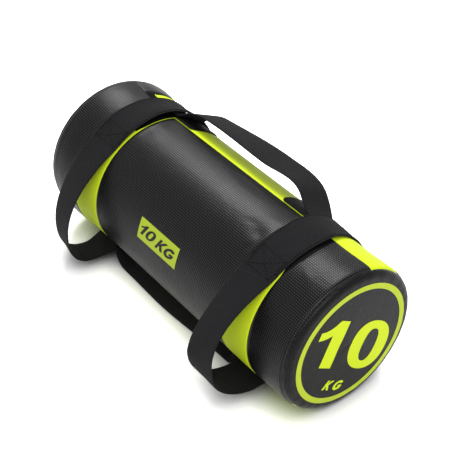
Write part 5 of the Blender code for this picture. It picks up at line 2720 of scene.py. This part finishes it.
@dataclass(frozen=True)
class Studio:
    """The camera, the lamps, the world and the pale floor.

    Args:
        azimuth: The camera's bearing in degrees.
        elevation: Its height over the horizon in degrees.
        location: Its place.
        lens: Its focal length in millimetres, on a 36 mm sensor.
        ambient: The world's light on the object.
        floor_colour: The floor's colour.
        floor_size: How far it reaches from the middle, each way.
        floor_glow: The brightness of the floor that the camera sees, where nothing is near it.
        contact_reach: How near the bag has to be to shade it.
        target: The point that the lamps face, in the middle of the bag.
        lamps: The lamps.
    """

    azimuth: float = 52.51
    elevation: float = 39.33
    location: tuple[float, float, float] = (0.9295, -0.7035, 1.0696)
    lens: float = 93.18
    ambient: float = 0.62
    floor_colour: str = "#e8e8e8"
    floor_size: float = 12.0
    floor_glow: float = 1.55
    contact_reach: float = 0.04
    target: tuple[float, float, float] = (0.0, 0.0, 0.1)
    lamps: tuple[Softbox, ...] = (
        Softbox("key_softbox", (-0.520, 0.320, 0.792), 3.2, (1.2, 1.0), 80.0),
        Softbox("fill_softbox", (0.10, -0.85, 0.55), 1.9, (1.6, 1.2), 5.0),
        Softbox("front_softbox", (0.55, -0.30, 0.78), 2.5, (1.6, 1.6), 36.0),
    )

    def build_camera(self) -> None:
        """Sets the camera at the photograph's place."""
        data = bpy.data.cameras.new("camera")
        data.lens = self.lens
        data.sensor_width = 36.0
        camera = new_object("camera", data)
        camera.location = self.location
        camera.rotation_euler = (math.radians(90 - self.elevation), 0, math.radians(self.azimuth))
        bpy.context.scene.camera = camera

    @staticmethod
    def seen_plainly(tree: Tree) -> Socket:
        """Returns 1 for rays from the camera, mirrors and glass, and 0 for light on the object.

        Args:
            tree: The tree that the nodes go into.

        Returns:
            The share.
        """
        path = add_node(tree, "ShaderNodeLightPath").outputs
        mirrored = add_math(tree, "MAXIMUM", path["Is Glossy Ray"], path["Is Transmission Ray"])
        return add_math(tree, "MAXIMUM", path["Is Camera Ray"], mirrored)

    def build_world(self) -> None:
        """Sets a white backdrop that lights the object at the ambient level."""
        world = bpy.data.worlds.new("studio_air")
        bpy.context.scene.world = world
        world.use_nodes = True
        tree = world.node_tree
        white = linear("#ffffff")
        lit, seen = (add_node(tree, "ShaderNodeBackground", {"Color": white, "Strength": strength})
                     for strength in (self.ambient, 1.0))
        mixed = self.mix_shaders(tree, self.seen_plainly(tree), lit, seen)
        tree.links.new(mixed.outputs[0], tree.nodes["World Output"].inputs["Surface"])

    @staticmethod
    def mix_shaders(tree: Tree, share: Socket, first: Node, second: Node) -> Node:
        """Mixes two shaders by a share of the second."""
        values = {0: share, 1: first.outputs[0], 2: second.outputs[0]}
        return add_node(tree, "ShaderNodeMixShader", values)

    def build_floor(self) -> None:
        """Lays a floor of matt white paper, with a little fibre in it, and a painted contact shadow near the
        bag where the camera sees it.
        """
        paper = bpy.data.materials.new("matt_white_paper")
        paper.use_nodes = True
        tree = paper.node_tree
        shader = tree.nodes["Principled BSDF"]
        shader.inputs["Base Color"].default_value = linear(self.floor_colour)
        shader.inputs["Roughness"].default_value = 1.0
        shader.inputs["Specular IOR Level"].default_value = 0.0
        fibre = add_noise(tree, 1 / 700, Detail=2.0)
        bump = add_node(tree, "ShaderNodeBump", {"Height": fibre, "Distance": 0.00002})
        tree.links.new(bump.outputs["Normal"], shader.inputs["Normal"])
        white = add_node(tree, "ShaderNodeBsdfDiffuse", {"Color": linear("#ffffff")})
        # Painted shadow: ambient occlusion darkens the white that the camera sees near the bag.
        glow = {"Color": (*[self.floor_glow] * 3, 1.0), "Distance": self.contact_reach}
        near = add_node(tree, "ShaderNodeAmbientOcclusion", glow, samples=8)
        contact_shaded_floor = add_node(tree, "ShaderNodeBsdfDiffuse", {"Color": near.outputs["Color"]})
        clear = self.mix_shaders(tree, self.seen_plainly(tree), shader, white)
        direct = add_node(tree, "ShaderNodeLightPath").outputs["Is Camera Ray"]
        both = self.mix_shaders(tree, direct, clear, contact_shaded_floor)
        tree.links.new(both.outputs[0], tree.nodes["Material Output"].inputs["Surface"])
        size = self.floor_size
        corners = [(-size, -size, 0), (size, -size, 0), (size, size, 0), (-size, size, 0)]
        data = bpy.data.meshes.new("studio_floor")
        data.from_pydata(corners, [], [(0, 1, 2, 3)])
        data.materials.append(paper)
        new_object("studio_floor", data)

    def build(self) -> None:
        """Builds the whole studio."""
        bpy.context.scene.view_settings.view_transform = "Standard"
        self.build_camera()
        self.build_world()
        self.build_floor()
        for lamp in self.lamps:
            lamp.build(Vector(self.target))


def main() -> None:
    """Builds the studio and dresses every part of the bag."""
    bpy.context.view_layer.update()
    Studio().build()
    form = BagForm()
    relief = CoverRelief(form, Stuffing())
    Cover(form, relief).build()
    caps = {end: EndCap(form, end) for end in End}
    for cap in caps.values():
        cap.build()
    WeightMarks(form, relief, caps[End.NEAR]).build()
    for shape in (FAR_LOOP, NEAR_LOOP):
        StrapWithLoop(form, shape).build()
    for shape in (BACK_HANDLE, FRONT_HANDLE):
        LongHandle(form, relief, shape).build()
    Filling(form, relief).build()


if __name__ == "__main__":
    main()
